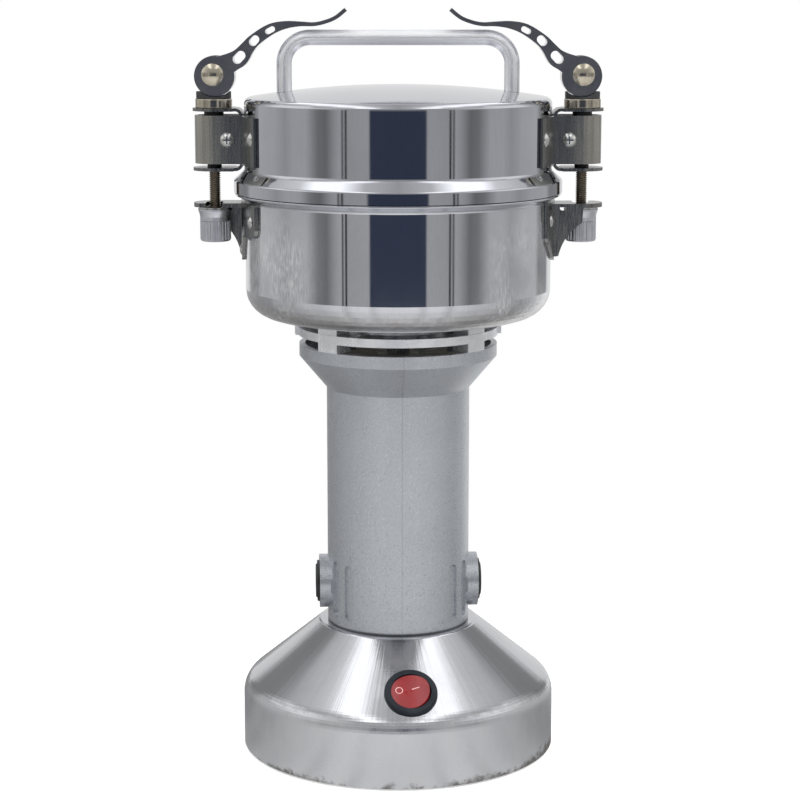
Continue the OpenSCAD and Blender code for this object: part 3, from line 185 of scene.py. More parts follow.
# Ceiling: grey cloth with two soft boxes that run from front to back.
CEILING_Z = 1.28
BOX_X = 0.485
BOX_W = 0.2
deselect_all()
bpy.ops.mesh.primitive_circle_add(
    vertices=64, radius=TENT_R, fill_type="NGON", location=(0, 0, CEILING_Z))
ceiling = bpy.context.object
ceiling.name = "tent_ceiling"
material, tree, glow = emitting("ceiling cloth")
place = add_node(tree, "TexCoord").outputs["Object"]
across = math_node(tree, "ABSOLUTE", split(tree, place)["X"])
inner, outer = BOX_X - BOX_W / 2, BOX_X + BOX_W / 2
ceiling_greys = [
    (0, 0.5), (inner - 0.16, 0.72), (inner, 1.75), (outer, 1.75), (outer + 0.1, 0.95),
    (outer + 0.3, 0.72), (TENT_R, 0.52)
]
share = math_node(tree, "DIVIDE", across, TENT_R)
greys = ramp(tree, share, [(x / TENT_R, grey) for x, grey in ceiling_greys])
tree.links.new(greys, glow.inputs["Color"])
ceiling.data.materials.append(material)

# Two dark cards behind on the left, which only the cone of the base mirrors, as dark lines.
material, tree, glow = emitting("dark card", (0.07, 0.08, 0.1))
CARD_R = 1.3
cards = []
for degrees, width, low, high in ((150, 0.06, 0.4, 0.95), (161, 0.14, 0.22, 0.6)):
    deselect_all()
    bpy.ops.mesh.primitive_plane_add(size=1, location=(0, 0, 0))
    card = bpy.context.object
    card.name = f"dark_card_{degrees}"
    card.scale = (width, high - low, 1)
    turn = math.radians(-degrees)
    card.location = (CARD_R * math.sin(turn), -CARD_R * math.cos(turn), (low + high) / 2)
    card.rotation_euler = (math.radians(90), 0, turn)
    card.data.materials.append(material)
    cards.append(card)
for cloth in (tent, ceiling, *cards):
    cloth.visible_camera = False
    cloth.visible_diffuse = False
    cloth.visible_shadow = False
    cloth.visible_transmission = False

# Floor: matt and pale, with the soft shadow of the mill, and plain white further out. The metal
# mirrors it as fainter cloth that is brightest in front, with a painted shadow of the mill that
# darkens it near the mill.
deselect_all()
bpy.ops.mesh.primitive_circle_add(vertices=96, radius=6, fill_type="NGON", location=(0, 0, 0))
floor = bpy.context.object
floor.name = "floor"
material = bpy.data.materials.new("pale floor")
material.use_nodes = True
tree = material.node_tree
tree.nodes.clear()
path = add_node(tree, "LightPath")
place = add_node(tree, "TexCoord").outputs["Object"]
distance = length(tree, place)
far = remap(tree, distance, 0.12, 0.34, interpolation_type="SMOOTHSTEP")
matt = add_node(tree, "BsdfDiffuse", {"Color": (0.8, 0.8, 0.8, 1)})
lift = add_node(tree, "Emission", {"Strength": math_node(
    tree, "MULTIPLY", path.outputs["Is Camera Ray"], 0.42)})
near = add_node(tree, "AddShader", {0: matt.outputs[0], 1: lift.outputs[0]})
white = add_node(tree, "Emission", {"Strength": 1.0})
away = math_node(tree, "MULTIPLY", far, path.outputs["Is Camera Ray"])
mixed = add_node(tree, "MixShader", {0: away, 1: near.outputs[0], 2: white.outputs[0]})
# Painted shadow: the floor that the metal mirrors grows darker towards the mill.
mirrored_mill_shadow = remap(tree, distance, 0.06, 0.4, 0.7, 0.95)
share = math_node(tree, "MULTIPLY_ADD", from_front(tree, place), 0.5 / math.pi, 0.5)
floor_greys = [
    (-180, 0.5), (-140, 0.32), (-110, 0.36), (-96, 0.5), (-84, 0.48), (-70, 0.64), (-58, 0.68),
    (-43, 0.9), (-38, 0.7), (-33, 0.92), (-23, 1.0), (-18, 0.8), (-13, 0.98), (13, 1.0),
    (18, 0.8), (23, 1.0), (33, 0.94), (38, 0.7), (43, 0.9), (58, 0.7), (70, 0.64),
    (84, 0.46), (104, 0.4), (125, 0.6), (145, 1.0), (180, 0.6)
]
greys = ramp(tree, share, [(a / 360 + 0.5, grey) for a, grey in floor_greys])
mirrored = add_node(tree, "Emission", {"Color": greys, "Strength": mirrored_mill_shadow})
both = add_node(tree, "MixShader", {
    0: path.outputs["Is Glossy Ray"], 1: mixed.outputs[0], 2: mirrored.outputs[0]})
add_node(tree, "OutputMaterial", {"Surface": both.outputs[0]})
floor.data.materials.append(material)

# Lamps: two long soft boxes above and a broad weak one in front. They light the matt surfaces.
lamps = [
    ("soft_box_left", (-0.6, -0.2, 1.2), (0.35, 1.1), 7),
    ("soft_box_right", (0.6, -0.2, 1.2), (0.35, 1.1), 10),
    ("front_fill", (0.1, -1.3, 0.8), (0.5, 0.6), 9),
]
for name, at, (across, along), watts in lamps:
    lamp_data = bpy.data.lights.new(name, "AREA")
    lamp_data.shape = "RECTANGLE"
    lamp_data.size, lamp_data.size_y = across, along
    lamp_data.energy = watts
    lamp = bpy.data.objects.new(name, lamp_data)
    lamp.location = at
    aim = Vector((0, 0, 0.15)) - Vector(at)
    lamp.rotation_euler = aim.to_track_quat("-Z", "Y").to_euler()
    lamp.visible_glossy = False
    bpy.context.scene.collection.objects.link(lamp)


# Base shell. One spun cone of stainless steel with an upright skirt: the cone is polished, and
# the skirt is duller, scuffed by handling and darker in blotches along its lower edge. A thin band
# of painted shade darkens the shoulder where the cone meets the skirt.
def node_group(name, inputs, outputs):
    """An empty group with sockets of floats and vectors, and its input and output nodes."""
    tree = bpy.data.node_groups.new(name, "ShaderNodeTree")
    for title, value in inputs:
        kind = "NodeSocketVector" if value is None else "NodeSocketFloat"
        socket = tree.interface.new_socket(title, in_out="INPUT", socket_type=kind)
        if value is not None:
            socket.default_value = value
    for title in outputs:
        tree.interface.new_socket(title, in_out="OUTPUT", socket_type="NodeSocketFloat")
    return tree, tree.nodes.new("NodeGroupInput").outputs, tree.nodes.new("NodeGroupOutput").inputs


def use(tree, group, **values):
    """Places a group in a material; names with _ stand for sockets with a space."""
    made = add_node(tree, "Group", node_tree=group)
    for name, value in values.items():
        socket = made.inputs[name.replace("_", " ")]
        if isinstance(value, bpy.types.NodeSocket):
            tree.links.new(value, socket)
        else:
            socket.default_value = value
    return made.outputs


def noise(tree, vector, scale, detail=2.0, roughness=0.5):
    inputs = {"Vector": vector, "Scale": scale, "Detail": detail, "Roughness": roughness}
    return add_node(tree, "TexNoise", inputs).outputs["Fac"]


def stretched(tree, vector, x, y, z):
    return add_node(tree, "VectorMath", {0: vector, 1: (x, y, z)}, operation="MULTIPLY").outputs[0]


# Lines left by spinning and polishing: rings round the axis, broken up a little on the way round.
turned_lines, given, out = node_group(
    "turned lines", [("Vector", None), ("Scale", 900.0), ("Breakup", 0.3)], ["Height"])
xyz = split(turned_lines, given["Vector"])
flat = add_node(turned_lines, "CombineXYZ", {0: xyz["X"], 1: xyz["Y"]}).outputs[0]
radius = length(turned_lines, flat)
broad = noise(turned_lines, given["Vector"], 60.0)
wander = math_node(turned_lines, "MULTIPLY", broad, given["Breakup"])
rings = add_node(turned_lines, "CombineXYZ", {
    0: math_node(turned_lines, "MULTIPLY", radius, given["Scale"]),
    1: math_node(turned_lines, "MULTIPLY", xyz["Z"], given["Scale"]), 2: wander}).outputs[0]
turned_lines.links.new(noise(turned_lines, rings, 1.0, 3.0, 0.65), out["Height"])

# Patches where hands and cloths have dulled the polish.
smudges, given, out = node_group(
    "smudges", [("Vector", None), ("Scale", 30.0), ("Edge", 0.1)], ["Mask"])
cloud = noise(smudges, given["Vector"], given["Scale"], 5.0, 0.6)
low = math_node(smudges, "SUBTRACT", 0.55, given["Edge"])
high = math_node(smudges, "ADD", 0.55, given["Edge"])
smudges.links.new(remap(smudges, cloud, low, high), out["Mask"])

# Dark blotches that are thickest at one height and thin out above it: the base shell uses them
# along its lower edge and as painted shade at its shoulder.
dark_band, given, out = node_group(
    "dark_band", [("Vector", None), ("Level", 0.0), ("Reach", 0.008), ("Scale", 160.0)], ["Mask"])
height = split(dark_band, given["Vector"])["Z"]
above = math_node(dark_band, "ABSOLUTE", math_node(dark_band, "SUBTRACT", height, given["Level"]))
near_level = math_node(dark_band, "SUBTRACT", 1.0, math_node(dark_band, "DIVIDE", above, given["Reach"]))
spots = noise(dark_band, given["Vector"], given["Scale"], 6.0, 0.7)
broad = noise(dark_band, given["Vector"], 22.0, 2.0)
dark_blotches = math_node(dark_band, "MULTIPLY_ADD", broad, 0.9, spots)
worth = math_node(dark_band, "MULTIPLY_ADD", near_level, 0.5, dark_blotches)
dark_band.links.new(remap(dark_band, worth, 1.3, 1.5), out["Mask"])


def surface(name, colour, metallic, roughness, **more):
    """A Principled material. Its constants are set here, and patterns are linked to it later."""
    material = bpy.data.materials.new(name)
    material.use_nodes = True
    tree = material.node_tree
    shader = tree.nodes["Principled BSDF"]
    shader.inputs["Base Color"].default_value = (*colour, 1)
    shader.inputs["Metallic"].default_value = metallic
    shader.inputs["Roughness"].default_value = roughness
    for title, value in more.items():
        shader.inputs[title.replace("_", " ").title().replace("Ior", "IOR")].default_value = value
    place = add_node(tree, "TexCoord").outputs["Object"]
    return material, tree, shader, place


def tint(tree, mask, plain, marked):
    """A colour that goes from plain to marked where the mask is 1."""
    inputs = {"Factor": mask, "A": plain, "B": marked}
    mixed = tree.nodes.new("ShaderNodeMix")
    mixed.data_type = "RGBA"
    for title, value in inputs.items():
        socket = next(s for s in mixed.inputs if s.name == title and s.enabled)
        if isinstance(value, bpy.types.NodeSocket):
            tree.links.new(value, socket)
        else:
            socket.default_value = value if title == "Factor" else (*value, 1)
    return next(s for s in mixed.outputs if s.enabled)


def bump(tree, shader, height, depth, strength=1.0, under=None):
    inputs = {"Height": height, "Distance": depth, "Strength": strength}
    if under is not None:
        inputs["Normal"] = under
    made = add_node(tree, "Bump", inputs).outputs["Normal"]
    tree.links.new(made, shader.inputs["Normal"])
    return made


def link(tree, shader, **sockets):
    for title, value in sockets.items():
        tree.links.new(value, shader.inputs[title.replace("_", " ").title()])


def dress(material, *names):
    for name in names:
        slots = nodes[name].data.materials
        slots.clear()
        slots.append(material)


SHOULDER_Z = 28.6 * MM
CONE_FOOT = SHOULDER_Z + 1.5 * MM
steel, tree, shader, place = surface("polished base steel", (0.62, 0.63, 0.66), 1.0, 0.12)
lines = use(tree, turned_lines, Vector=place, Scale=1500.0, Breakup=0.6)["Height"]
worn = use(tree, smudges, Vector=place, Scale=26.0, Edge=0.12)["Mask"]
# Darker and duller in blotches along the lower edge of the skirt.
dark_blotches = use(tree, dark_band, Vector=place, Level=1 * MM, Reach=7 * MM, Scale=210.0)["Mask"]
# Painted shade: a thin dark band along the shoulder, where the cone meets the skirt.
shoulder_shade = use(tree, dark_band, Vector=place, Level=CONE_FOOT, Reach=2.2 * MM, Scale=240.0)["Mask"]
height = split(tree, place)["Z"]
skirt = remap(tree, height, CONE_FOOT, SHOULDER_Z - 1 * MM)
dull = math_node(tree, "MULTIPLY_ADD", skirt, 0.2, math_node(tree, "MULTIPLY_ADD", worn, 0.05, 0.06))
# The darker lower edge and the painted shade at the shoulder, together.
skirt_dark_and_shoulder_shade = math_node(tree, "MAXIMUM", dark_blotches, math_node(tree, "MULTIPLY", shoulder_shade, 0.3))
dull = math_node(tree, "MULTIPLY_ADD", skirt_dark_and_shoulder_shade, 0.35, dull)
clean = tint(tree, worn, (0.62, 0.63, 0.66), (0.56, 0.568, 0.594))
xyz = split(tree, place)
azimuth = math_node(tree, "ARCTAN2", xyz["X"], xyz["Y"])
around = math_node(tree, "MULTIPLY", azimuth, 16.0)
slant = add_node(tree, "CombineXYZ", {0: around, 1: height}).outputs[0]
streaks = noise(tree, slant, 1.0, 6.0, 0.7)
on_cone = math_node(tree, "SUBTRACT", 1.0, math_node(tree, "MULTIPLY", skirt, 0.6))
streaks = math_node(tree, "MULTIPLY", streaks, on_cone)
mottle = noise(tree, stretched(tree, place, 1.0, 1.0, 0.5), 110.0, 5.0, 0.65)
scuffed = math_node(tree, "MULTIPLY", skirt, remap(tree, mottle, 0.42, 0.62))
clean = tint(tree, remap(tree, streaks, 0.4, 0.7, 0.0, 0.35), clean, (0.47, 0.476, 0.498))
clean = tint(tree, math_node(tree, "MULTIPLY", skirt, 0.5), clean, (0.84, 0.85, 0.885))
clean = tint(tree, math_node(tree, "MULTIPLY", scuffed, 0.5), clean, (0.8, 0.805, 0.815))
dull = math_node(tree, "MULTIPLY_ADD", scuffed, 0.1, dull)
darkened_and_shaded = tint(tree, math_node(tree, "MULTIPLY", skirt_dark_and_shoulder_shade, 0.75), clean, (0.17, 0.155, 0.135))
link(tree, shader, base_color=darkened_and_shaded, roughness=dull)
fine = bump(tree, shader, lines, 0.02 * MM, 0.35)
bump(tree, shader, streaks, 0.3 * MM, 0.25, fine)
dress(steel, "base_shell")

# Base fittings. A pressed plate closes the bottom, held by screws; the feet are moulded rubber,
# and a rubber bush for the cord sits in the skirt at the back.
moulded, tree, shader, place = surface("black moulding", (0.028, 0.028, 0.03), 0.0, 0.5)
grain = noise(tree, place, 2600.0, 3.0)
patch = use(tree, smudges, Vector=place, Scale=60.0, Edge=0.15)["Mask"]
link(tree, shader, base_color=tint(tree, patch, (0.012, 0.012, 0.013), (0.03, 0.03, 0.032)),
     roughness=remap(tree, patch, 0, 1, 0.42, 0.58))
bump(tree, shader, grain, 0.05 * MM, 0.3)
dress(moulded, "base_plate", "brush_cap_left", "brush_cap_right", "rod_guide_left",
      "rod_guide_right", "saddle_left", "saddle_right")

rubber, tree, shader, place = surface("black rubber", (0.022, 0.022, 0.022), 0.0, 0.75)
dust = use(tree, smudges, Vector=place, Scale=90.0, Edge=0.2)["Mask"]
link(tree, shader, base_color=tint(tree, dust, (0.02, 0.02, 0.02), (0.07, 0.068, 0.065)))
bump(tree, shader, noise(tree, place, 1800.0, 4.0), 0.08 * MM, 0.5)
dress(rubber, "base_feet", "cord_gland", "shaft_seal")

bright, tree, shader, place = surface("bright steel", (0.66, 0.66, 0.65), 1.0, 0.2)
patch = use(tree, smudges, Vector=place, Scale=300.0, Edge=0.2)["Mask"]
link(tree, shader, base_color=tint(tree, patch, (0.68, 0.68, 0.67), (0.52, 0.515, 0.5)),
     roughness=remap(tree, patch, 0, 1, 0.14, 0.3))
bump(tree, shader, noise(tree, place, 2500.0, 3.0), 0.02 * MM, 0.4)
dress(bright, "base_screws", "bowl_screws", "lower_bearing", "upper_bearing", "brush_springs",
      "motor_shaft", "blade_spacers", "blade_nut", "catch_rivets", "clamp_washers",
      "handle_screws", "strap_rivets", "strap_screws")

# Switch. A black collar clicked into the cone holds a red rocker, which rests with its left side
# in; a ring and a bar are printed on the rocker in a pale ink.
black, tree, shader, place = surface(
    "switch collar", (0.018, 0.022, 0.028), 0.0, 0.38, specular_ior_level=0.2)
patch = use(tree, smudges, Vector=place, Scale=120.0, Edge=0.2)["Mask"]
link(tree, shader, base_color=tint(tree, patch, (0.01, 0.013, 0.017), (0.018, 0.022, 0.028)),
     roughness=remap(tree, patch, 0, 1, 0.32, 0.48))
bump(tree, shader, noise(tree, place, 3000.0, 2.0), 0.03 * MM, 0.25)
dress(black, "switch_body")

red, tree, shader, place = surface(
    "red rocker", (0.4, 0.012, 0.014), 0.0, 0.34, subsurface_weight=0.2, coat_weight=0.2,
    coat_roughness=0.3)
shader.inputs["Subsurface Radius"].default_value = (0.003, 0.0006, 0.0004)
rubbed = use(tree, smudges, Vector=place, Scale=200.0, Edge=0.25)["Mask"]
link(tree, shader, base_color=tint(tree, rubbed, (0.225, 0.009, 0.011), (0.19, 0.02, 0.023)),
     roughness=remap(tree, rubbed, 0, 1, 0.26, 0.4))
bump(tree, shader, noise(tree, place, 1500.0, 2.0), 0.02 * MM, 0.2)
dress(red, "switch_rocker")

SWITCH_TURN = math.radians(5.5)
rocker_joint = next(j for j in frame["record"]["behaviour"]["joints"] if j["name"] == "rocker_tip")
pivot = Vector(rocker_joint["pos_m"])
up_cone = Vector(rocker_joint["axis"])
sideways = Vector((math.cos(SWITCH_TURN), math.sin(SWITCH_TURN), 0))
outwards = sideways.cross(up_cone)
INK_THICKNESS = 0.04 * MM


def on_rocker(x, y):
    """The point of the rocker's face at x to the right and y up the cone, with the ink's thickness."""
    start = pivot + sideways * x + up_cone * y + outwards * 20 * MM
    point = nodes["switch_rocker"].ray_cast(start, -outwards)[1]
    return point + outwards * INK_THICKNESS


def printed(name, outer, inner):
    """A printed mark: a strip between two outlines of the same number of points."""
    count = len(outer)
    data = bpy.data.meshes.new(name)
    points = [on_rocker(x, y) for x, y in outer + inner]
    faces = [(i, (i + 1) % count, count + (i + 1) % count, count + i) for i in range(count)]
    data.from_pydata(points, [], faces)
    mark = bpy.data.objects.new(name, data)
    bpy.context.scene.collection.objects.link(mark)
    data.materials.append(ink)
    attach(mark, "rocker")


ink, tree, shader, place = surface("pale ink", (0.75, 0.5, 0.48), 0.0, 0.45)
grain = noise(tree, place, 2500.0)
link(tree, shader, base_color=tint(tree, grain, (0.8, 0.55, 0.53), (0.66, 0.38, 0.37)),
     roughness=remap(tree, noise(tree, place, 1800.0), 0.3, 0.7, 0.38, 0.55))
turns = [2 * math.pi * i / 48 for i in range(48)]
circle = [(math.cos(t), math.sin(t)) for t in turns]
OFF_AT = Vector((-4.9, 0.9)) * MM
RING_RADII = (1.6 * MM, 1.3 * MM)
rings = ([(OFF_AT.x + r * c, OFF_AT.y + r * d) for c, d in circle] for r in RING_RADII)
printed("off_mark", *rings)
bar = [(0.4, 0.82), (3.55, 1.37), (3.6, 1.77), (0.45, 1.24)]
spine = [(1.0, 1.12), (3.0, 1.46), (3.0, 1.48), (1.0, 1.14)]
printed("on_mark", *([(x * MM, y * MM) for x, y in line] for line in (bar, spine)))

# Motor column. A sand-cast aluminium tube, tumbled and sprayed with clear silver, with the line
# of its two-part mould at the front and the back.
casting, given, out = node_group("casting", [("Vector", None), ("Scale", 1400.0)], ["Height", "Pits"])
grains = noise(casting, given["Vector"], given["Scale"], 4.0, 0.6)
cells = add_node(casting, "TexVoronoi", {"Vector": given["Vector"], "Scale": 420.0}).outputs["Distance"]
casting.links.new(grains, out["Height"])
pits = math_node(casting, "MULTIPLY", math_node(casting, "LESS_THAN", cells, 0.1),
                 math_node(casting, "GREATER_THAN", noise(casting, given["Vector"], 90.0), 0.52))
casting.links.new(pits, out["Pits"])

MOULD_LINE_TURN = 3.3
silver, tree, shader, place = surface("cast aluminium", (0.48, 0.5, 0.525), 0.8, 0.34)
cast = use(tree, casting, Vector=place, Scale=1500.0)
patch = use(tree, smudges, Vector=place, Scale=34.0, Edge=0.2)["Mask"]
turned = add_node(tree, "VectorRotate", {"Vector": place, "Angle": math.radians(-MOULD_LINE_TURN)},
                  rotation_type="Z_AXIS").outputs[0]
beside = math_node(tree, "ABSOLUTE", split(tree, turned)["X"])
seam = remap(tree, beside, 0.22 * MM, 0.08 * MM)
colour = tint(tree, patch, (0.48, 0.5, 0.53), (0.43, 0.447, 0.475))
sparkle = remap(tree, noise(tree, place, 2100.0, 2.0, 0.8), 0.38, 0.66)
colour = tint(tree, math_node(tree, "MULTIPLY", sparkle, 0.4), colour, (0.6, 0.63, 0.67))
height = split(tree, place)["Z"]
speck = remap(tree, noise(tree, place, 1100.0, 3.0, 0.6), 0.55, 0.66, 0.0, 0.6)
speck = math_node(tree, "MULTIPLY", speck, remap(tree, height, 120 * MM, 85 * MM, 0.25, 1.0))
colour = tint(tree, speck, colour, (0.3, 0.31, 0.33))
# Painted shadow: a thin dark line round the foot of the column, where it stands in the cone.
foot_shadow_line = remap(tree, height, 57.0 * MM, 56.3 * MM)
colour = tint(tree, math_node(tree, "MULTIPLY", foot_shadow_line, 0.85), colour, (0.06, 0.06, 0.065))
colour = tint(tree, cast["Pits"], colour, (0.24, 0.24, 0.25))
colour = tint(tree, math_node(tree, "MULTIPLY", seam, 0.5), colour, (0.22, 0.22, 0.23))
link(tree, shader, base_color=colour, roughness=remap(tree, cast["Height"], 0.3, 0.7, 0.24, 0.4))
relief = math_node(tree, "SUBTRACT", cast["Height"], math_node(tree, "MULTIPLY", cast["Pits"], 1.5))
relief = math_node(tree, "MULTIPLY_ADD", seam, 1.2, relief)
bump(tree, shader, relief, 0.04 * MM, 0.12)
dress(silver, "motor_housing")

# Motor. Laminated steel cores, enamelled copper windings, a copper commutator, brass brush
# holders with carbon brushes, and a moulded fan, all inside the column.
def bands(tree, vector, scale, distortion, direction):
    inputs = {"Vector": vector, "Scale": scale, "Distortion": distortion}
    return add_node(tree, "TexWave", inputs, bands_direction=direction).outputs["Fac"]


laminated, tree, shader, place = surface("laminated steel", (0.2, 0.2, 0.21), 0.8, 0.5)
sheets = bands(tree, place, 600.0, 0.4, "Z")
link(tree, shader, base_color=tint(tree, sheets, (0.12, 0.12, 0.13), (0.28, 0.28, 0.29)))
bump(tree, shader, sheets, 0.08 * MM, 0.6)
dress(laminated, "stator_core", "armature_core")

copper, tree, shader, place = surface("enamelled copper", (0.5, 0.2, 0.08), 0.9, 0.32)
wires = bands(tree, place, 420.0, 1.5, "DIAGONAL")
link(tree, shader, base_color=tint(tree, wires, (0.28, 0.09, 0.03), (0.58, 0.25, 0.1)))
bump(tree, shader, wires, 0.2 * MM, 0.7)
dress(copper, "field_coils", "armature_windings", "commutator")

brass, tree, shader, place = surface("brass", (0.68, 0.5, 0.22), 1.0, 0.3)
patch = use(tree, smudges, Vector=place, Scale=200.0, Edge=0.2)["Mask"]
link(tree, shader, base_color=tint(tree, patch, (0.7, 0.52, 0.24), (0.48, 0.34, 0.15)))
bump(tree, shader, noise(tree, place, 1500.0), 0.03 * MM, 0.3)
dress(brass, "brush_holders")

carbon, tree, shader, place = surface("carbon", (0.03, 0.03, 0.032), 0.1, 0.6)
grain = noise(tree, place, 900.0)
link(tree, shader, base_color=tint(tree, grain, (0.02, 0.02, 0.02), (0.07, 0.07, 0.07)))
bump(tree, shader, noise(tree, place, 3000.0), 0.04 * MM, 0.4)
dress(carbon, "carbon_brushes")

nylon, tree, shader, place = surface("fan nylon", (0.62, 0.6, 0.54), 0.0, 0.5, subsurface_weight=0.1)
cloud = noise(tree, place, 120.0)
link(tree, shader, base_color=tint(tree, cloud, (0.64, 0.62, 0.56), (0.52, 0.5, 0.44)))
bump(tree, shader, noise(tree, place, 2000.0), 0.04 * MM, 0.3)
dress(nylon, "cooling_fan")

# Collar. A turned and milled aluminium bracket between the column and the bowl, left raw.
raw, tree, shader, place = surface("raw aluminium", (0.76, 0.765, 0.775), 0.85, 0.3)
lines = use(tree, turned_lines, Vector=place, Scale=900.0, Breakup=0.5)["Height"]
patch = use(tree, smudges, Vector=place, Scale=140.0, Edge=0.2)["Mask"]
link(tree, shader, base_color=tint(tree, patch, (0.88, 0.89, 0.92), (0.7, 0.71, 0.73)),
     roughness=remap(tree, patch, 0, 1, 0.24, 0.4))
bump(tree, shader, lines, 0.06 * MM, 0.5)
dress(raw, "end_bracket")

# Bowl. Deep drawn from stainless steel with a rolled rim, spun and mirror polished. Its sides
# are rubbed: fine upright scuffs show to the left and right of the front. It grows darker and
# duller towards its foot, and painted shade darkens the lowest edge of its underside.
mirror, tree, shader, place = surface("mirror steel", (0.65, 0.66, 0.7), 1.0, 0.07)
lines = use(tree, turned_lines, Vector=place, Scale=1600.0, Breakup=0.4)["Height"]
worn = use(tree, smudges, Vector=place, Scale=20.0, Edge=0.16)["Mask"]
upright = stretched(tree, place, 1.0, 1.0, 0.16)
scuff_lines = noise(tree, upright, 1500.0, 3.0, 0.7)
xyz = split(tree, place)
beside = math_node(tree, "ABSOLUTE", xyz["X"])
outside = remap(tree, beside, 28 * MM, 45 * MM)
sides = math_node(tree, "MULTIPLY", outside, remap(tree, xyz["Z"], 243 * MM, 225 * MM))
patch = use(tree, smudges, Vector=place, Scale=34.0, Edge=0.2)["Mask"]
scuffed = math_node(tree, "MULTIPLY", sides, patch)
scuffs = math_node(tree, "MULTIPLY", scuffed, remap(tree, scuff_lines, 0.42, 0.62))
dull = remap(tree, worn, 0, 1, 0.035, 0.08)
dull = math_node(tree, "MULTIPLY_ADD", scuffed, 0.14, dull)
colour = tint(tree, worn, (0.65, 0.66, 0.7), (0.6, 0.61, 0.648))
colour = tint(tree, remap(tree, scuff_lines, 0.4, 0.7, 0.0, 0.3), colour, (0.52, 0.527, 0.56))
bowl_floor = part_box("bowl")[0][2]
flat = add_node(tree, "CombineXYZ", {0: xyz["X"], 1: xyz["Y"]}).outputs[0]
radius = length(tree, flat)
# Painted shade: a dark band on the lowest edge of the underside, round the floor of the bowl.
under = math_node(tree, "MULTIPLY", remap(tree, radius, 50 * MM, 47 * MM),
                  remap(tree, xyz["Z"], bowl_floor + 0.9 * MM, bowl_floor + 0.6 * MM))
# Darker and duller in blotches towards the foot of the bowl.
foot_darkening = math_node(tree, "MULTIPLY", remap(tree, xyz["Z"], bowl_floor + 11 * MM, bowl_floor + 4 * MM),
                    remap(tree, noise(tree, place, 420.0, 6.0, 0.75), 0.35, 0.62, 0.45, 1.0))
foot_darkening = math_node(tree, "MULTIPLY", foot_darkening, remap(tree, radius, 52 * MM, 56 * MM))
colour = tint(tree, foot_darkening, colour, (0.46, 0.452, 0.44))
colour = tint(tree, under, colour, (0.13, 0.135, 0.15))
dull = math_node(tree, "MULTIPLY_ADD", foot_darkening, 0.16, dull)
dull = math_node(tree, "MULTIPLY_ADD", under, 0.2, dull)
link(tree, shader, base_color=tint(tree, scuffs, colour, (0.9, 0.9, 0.9)), roughness=dull,
     metallic=math_node(tree, "MULTIPLY_ADD", scuffs, -0.4, 1.0))
fine = bump(tree, shader, lines, 0.012 * MM, 0.25)
bump(tree, shader, scuffs, 0.03 * MM, 0.2, fine)
dress(mirror, "bowl")

# Blades. Stamped and ground from hard steel, bolted one over another on the shaft.
ground, tree, shader, place = surface("ground steel", (0.64, 0.645, 0.655), 1.0, 0.25)
strokes = noise(tree, stretched(tree, place, 0.2, 1.0, 1.0), 2200.0, 3.0, 0.7)
link(tree, shader, base_color=tint(tree, strokes, (0.56, 0.565, 0.58), (0.7, 0.705, 0.71)),
     roughness=remap(tree, strokes, 0.3, 0.7, 0.18, 0.34))
bump(tree, shader, strokes, 0.03 * MM, 0.4)
dress(ground, "lower_blade", "middle_blade", "upper_blade")

# Catches and latch sheet. Pressed steel with a dark nickel finish, drawn in one direction.
dark, tree, shader, place = surface("dark nickel", (0.27, 0.27, 0.265), 1.0, 0.22)
drawn = noise(tree, stretched(tree, place, 1.0, 1.0, 0.08), 1700.0, 3.0, 0.7)
patch = use(tree, smudges, Vector=place, Scale=110.0, Edge=0.25)["Mask"]
colour = tint(tree, patch, (0.27, 0.27, 0.265), (0.18, 0.182, 0.19))
colour = tint(tree, math_node(tree, "MULTIPLY", drawn, 0.3), colour, (0.42, 0.41, 0.39))
link(tree, shader, base_color=colour,
     roughness=remap(tree, drawn, 0.3, 0.7, 0.16, 0.32))
bump(tree, shader, drawn, 0.02 * MM, 0.15)
dress(dark, "catch_left", "catch_right", "latch_bracket_left", "latch_bracket_right")

# Clamp nuts. Turned from aluminium and fluted for the fingers; the washers above are steel.
fluted, tree, shader, place = surface("fluted aluminium", (0.7, 0.7, 0.71), 1.0, 0.34)
patch = use(tree, smudges, Vector=place, Scale=260.0, Edge=0.25)["Mask"]
link(tree, shader, base_color=tint(tree, patch, (0.73, 0.74, 0.78), (0.55, 0.56, 0.6)),
     roughness=remap(tree, patch, 0, 1, 0.28, 0.46))
bump(tree, shader, noise(tree, place, 1800.0, 3.0), 0.05 * MM, 0.4)
dress(fluted, "clamp_nut_left", "clamp_nut_right")

# Lid. The same steel as the bowl, without the scuffs, over a pale silicone seal.
lid_steel, tree, shader, place = surface("mirror lid steel", (0.59, 0.6, 0.64), 1.0, 0.06)
lines = use(tree, turned_lines, Vector=place, Scale=1300.0, Breakup=0.4)["Height"]
worn = use(tree, smudges, Vector=place, Scale=24.0, Edge=0.18)["Mask"]
brushed = noise(tree, stretched(tree, place, 1.0, 1.0, 0.08), 1100.0, 4.0, 0.7)
colour = tint(tree, worn, (0.59, 0.6, 0.645), (0.535, 0.545, 0.585))
colour = tint(tree, remap(tree, brushed, 0.4, 0.7, 0.0, 0.3), colour, (0.475, 0.483, 0.52))
link(tree, shader, base_color=colour, roughness=remap(tree, worn, 0, 1, 0.04, 0.085))
bump(tree, shader, lines, 0.014 * MM, 0.3)
dress(lid_steel, "lid_shell")

silicone, tree, shader, place = surface(
    "pale silicone", (0.66, 0.66, 0.64), 0.0, 0.5, subsurface_weight=0.1)
cloud = noise(tree, place, 200.0)
link(tree, shader, base_color=tint(tree, cloud, (0.68, 0.68, 0.66), (0.58, 0.58, 0.55)))
bump(tree, shader, noise(tree, place, 1500.0), 0.05 * MM, 0.3)
dress(silicone, "lid_seal")

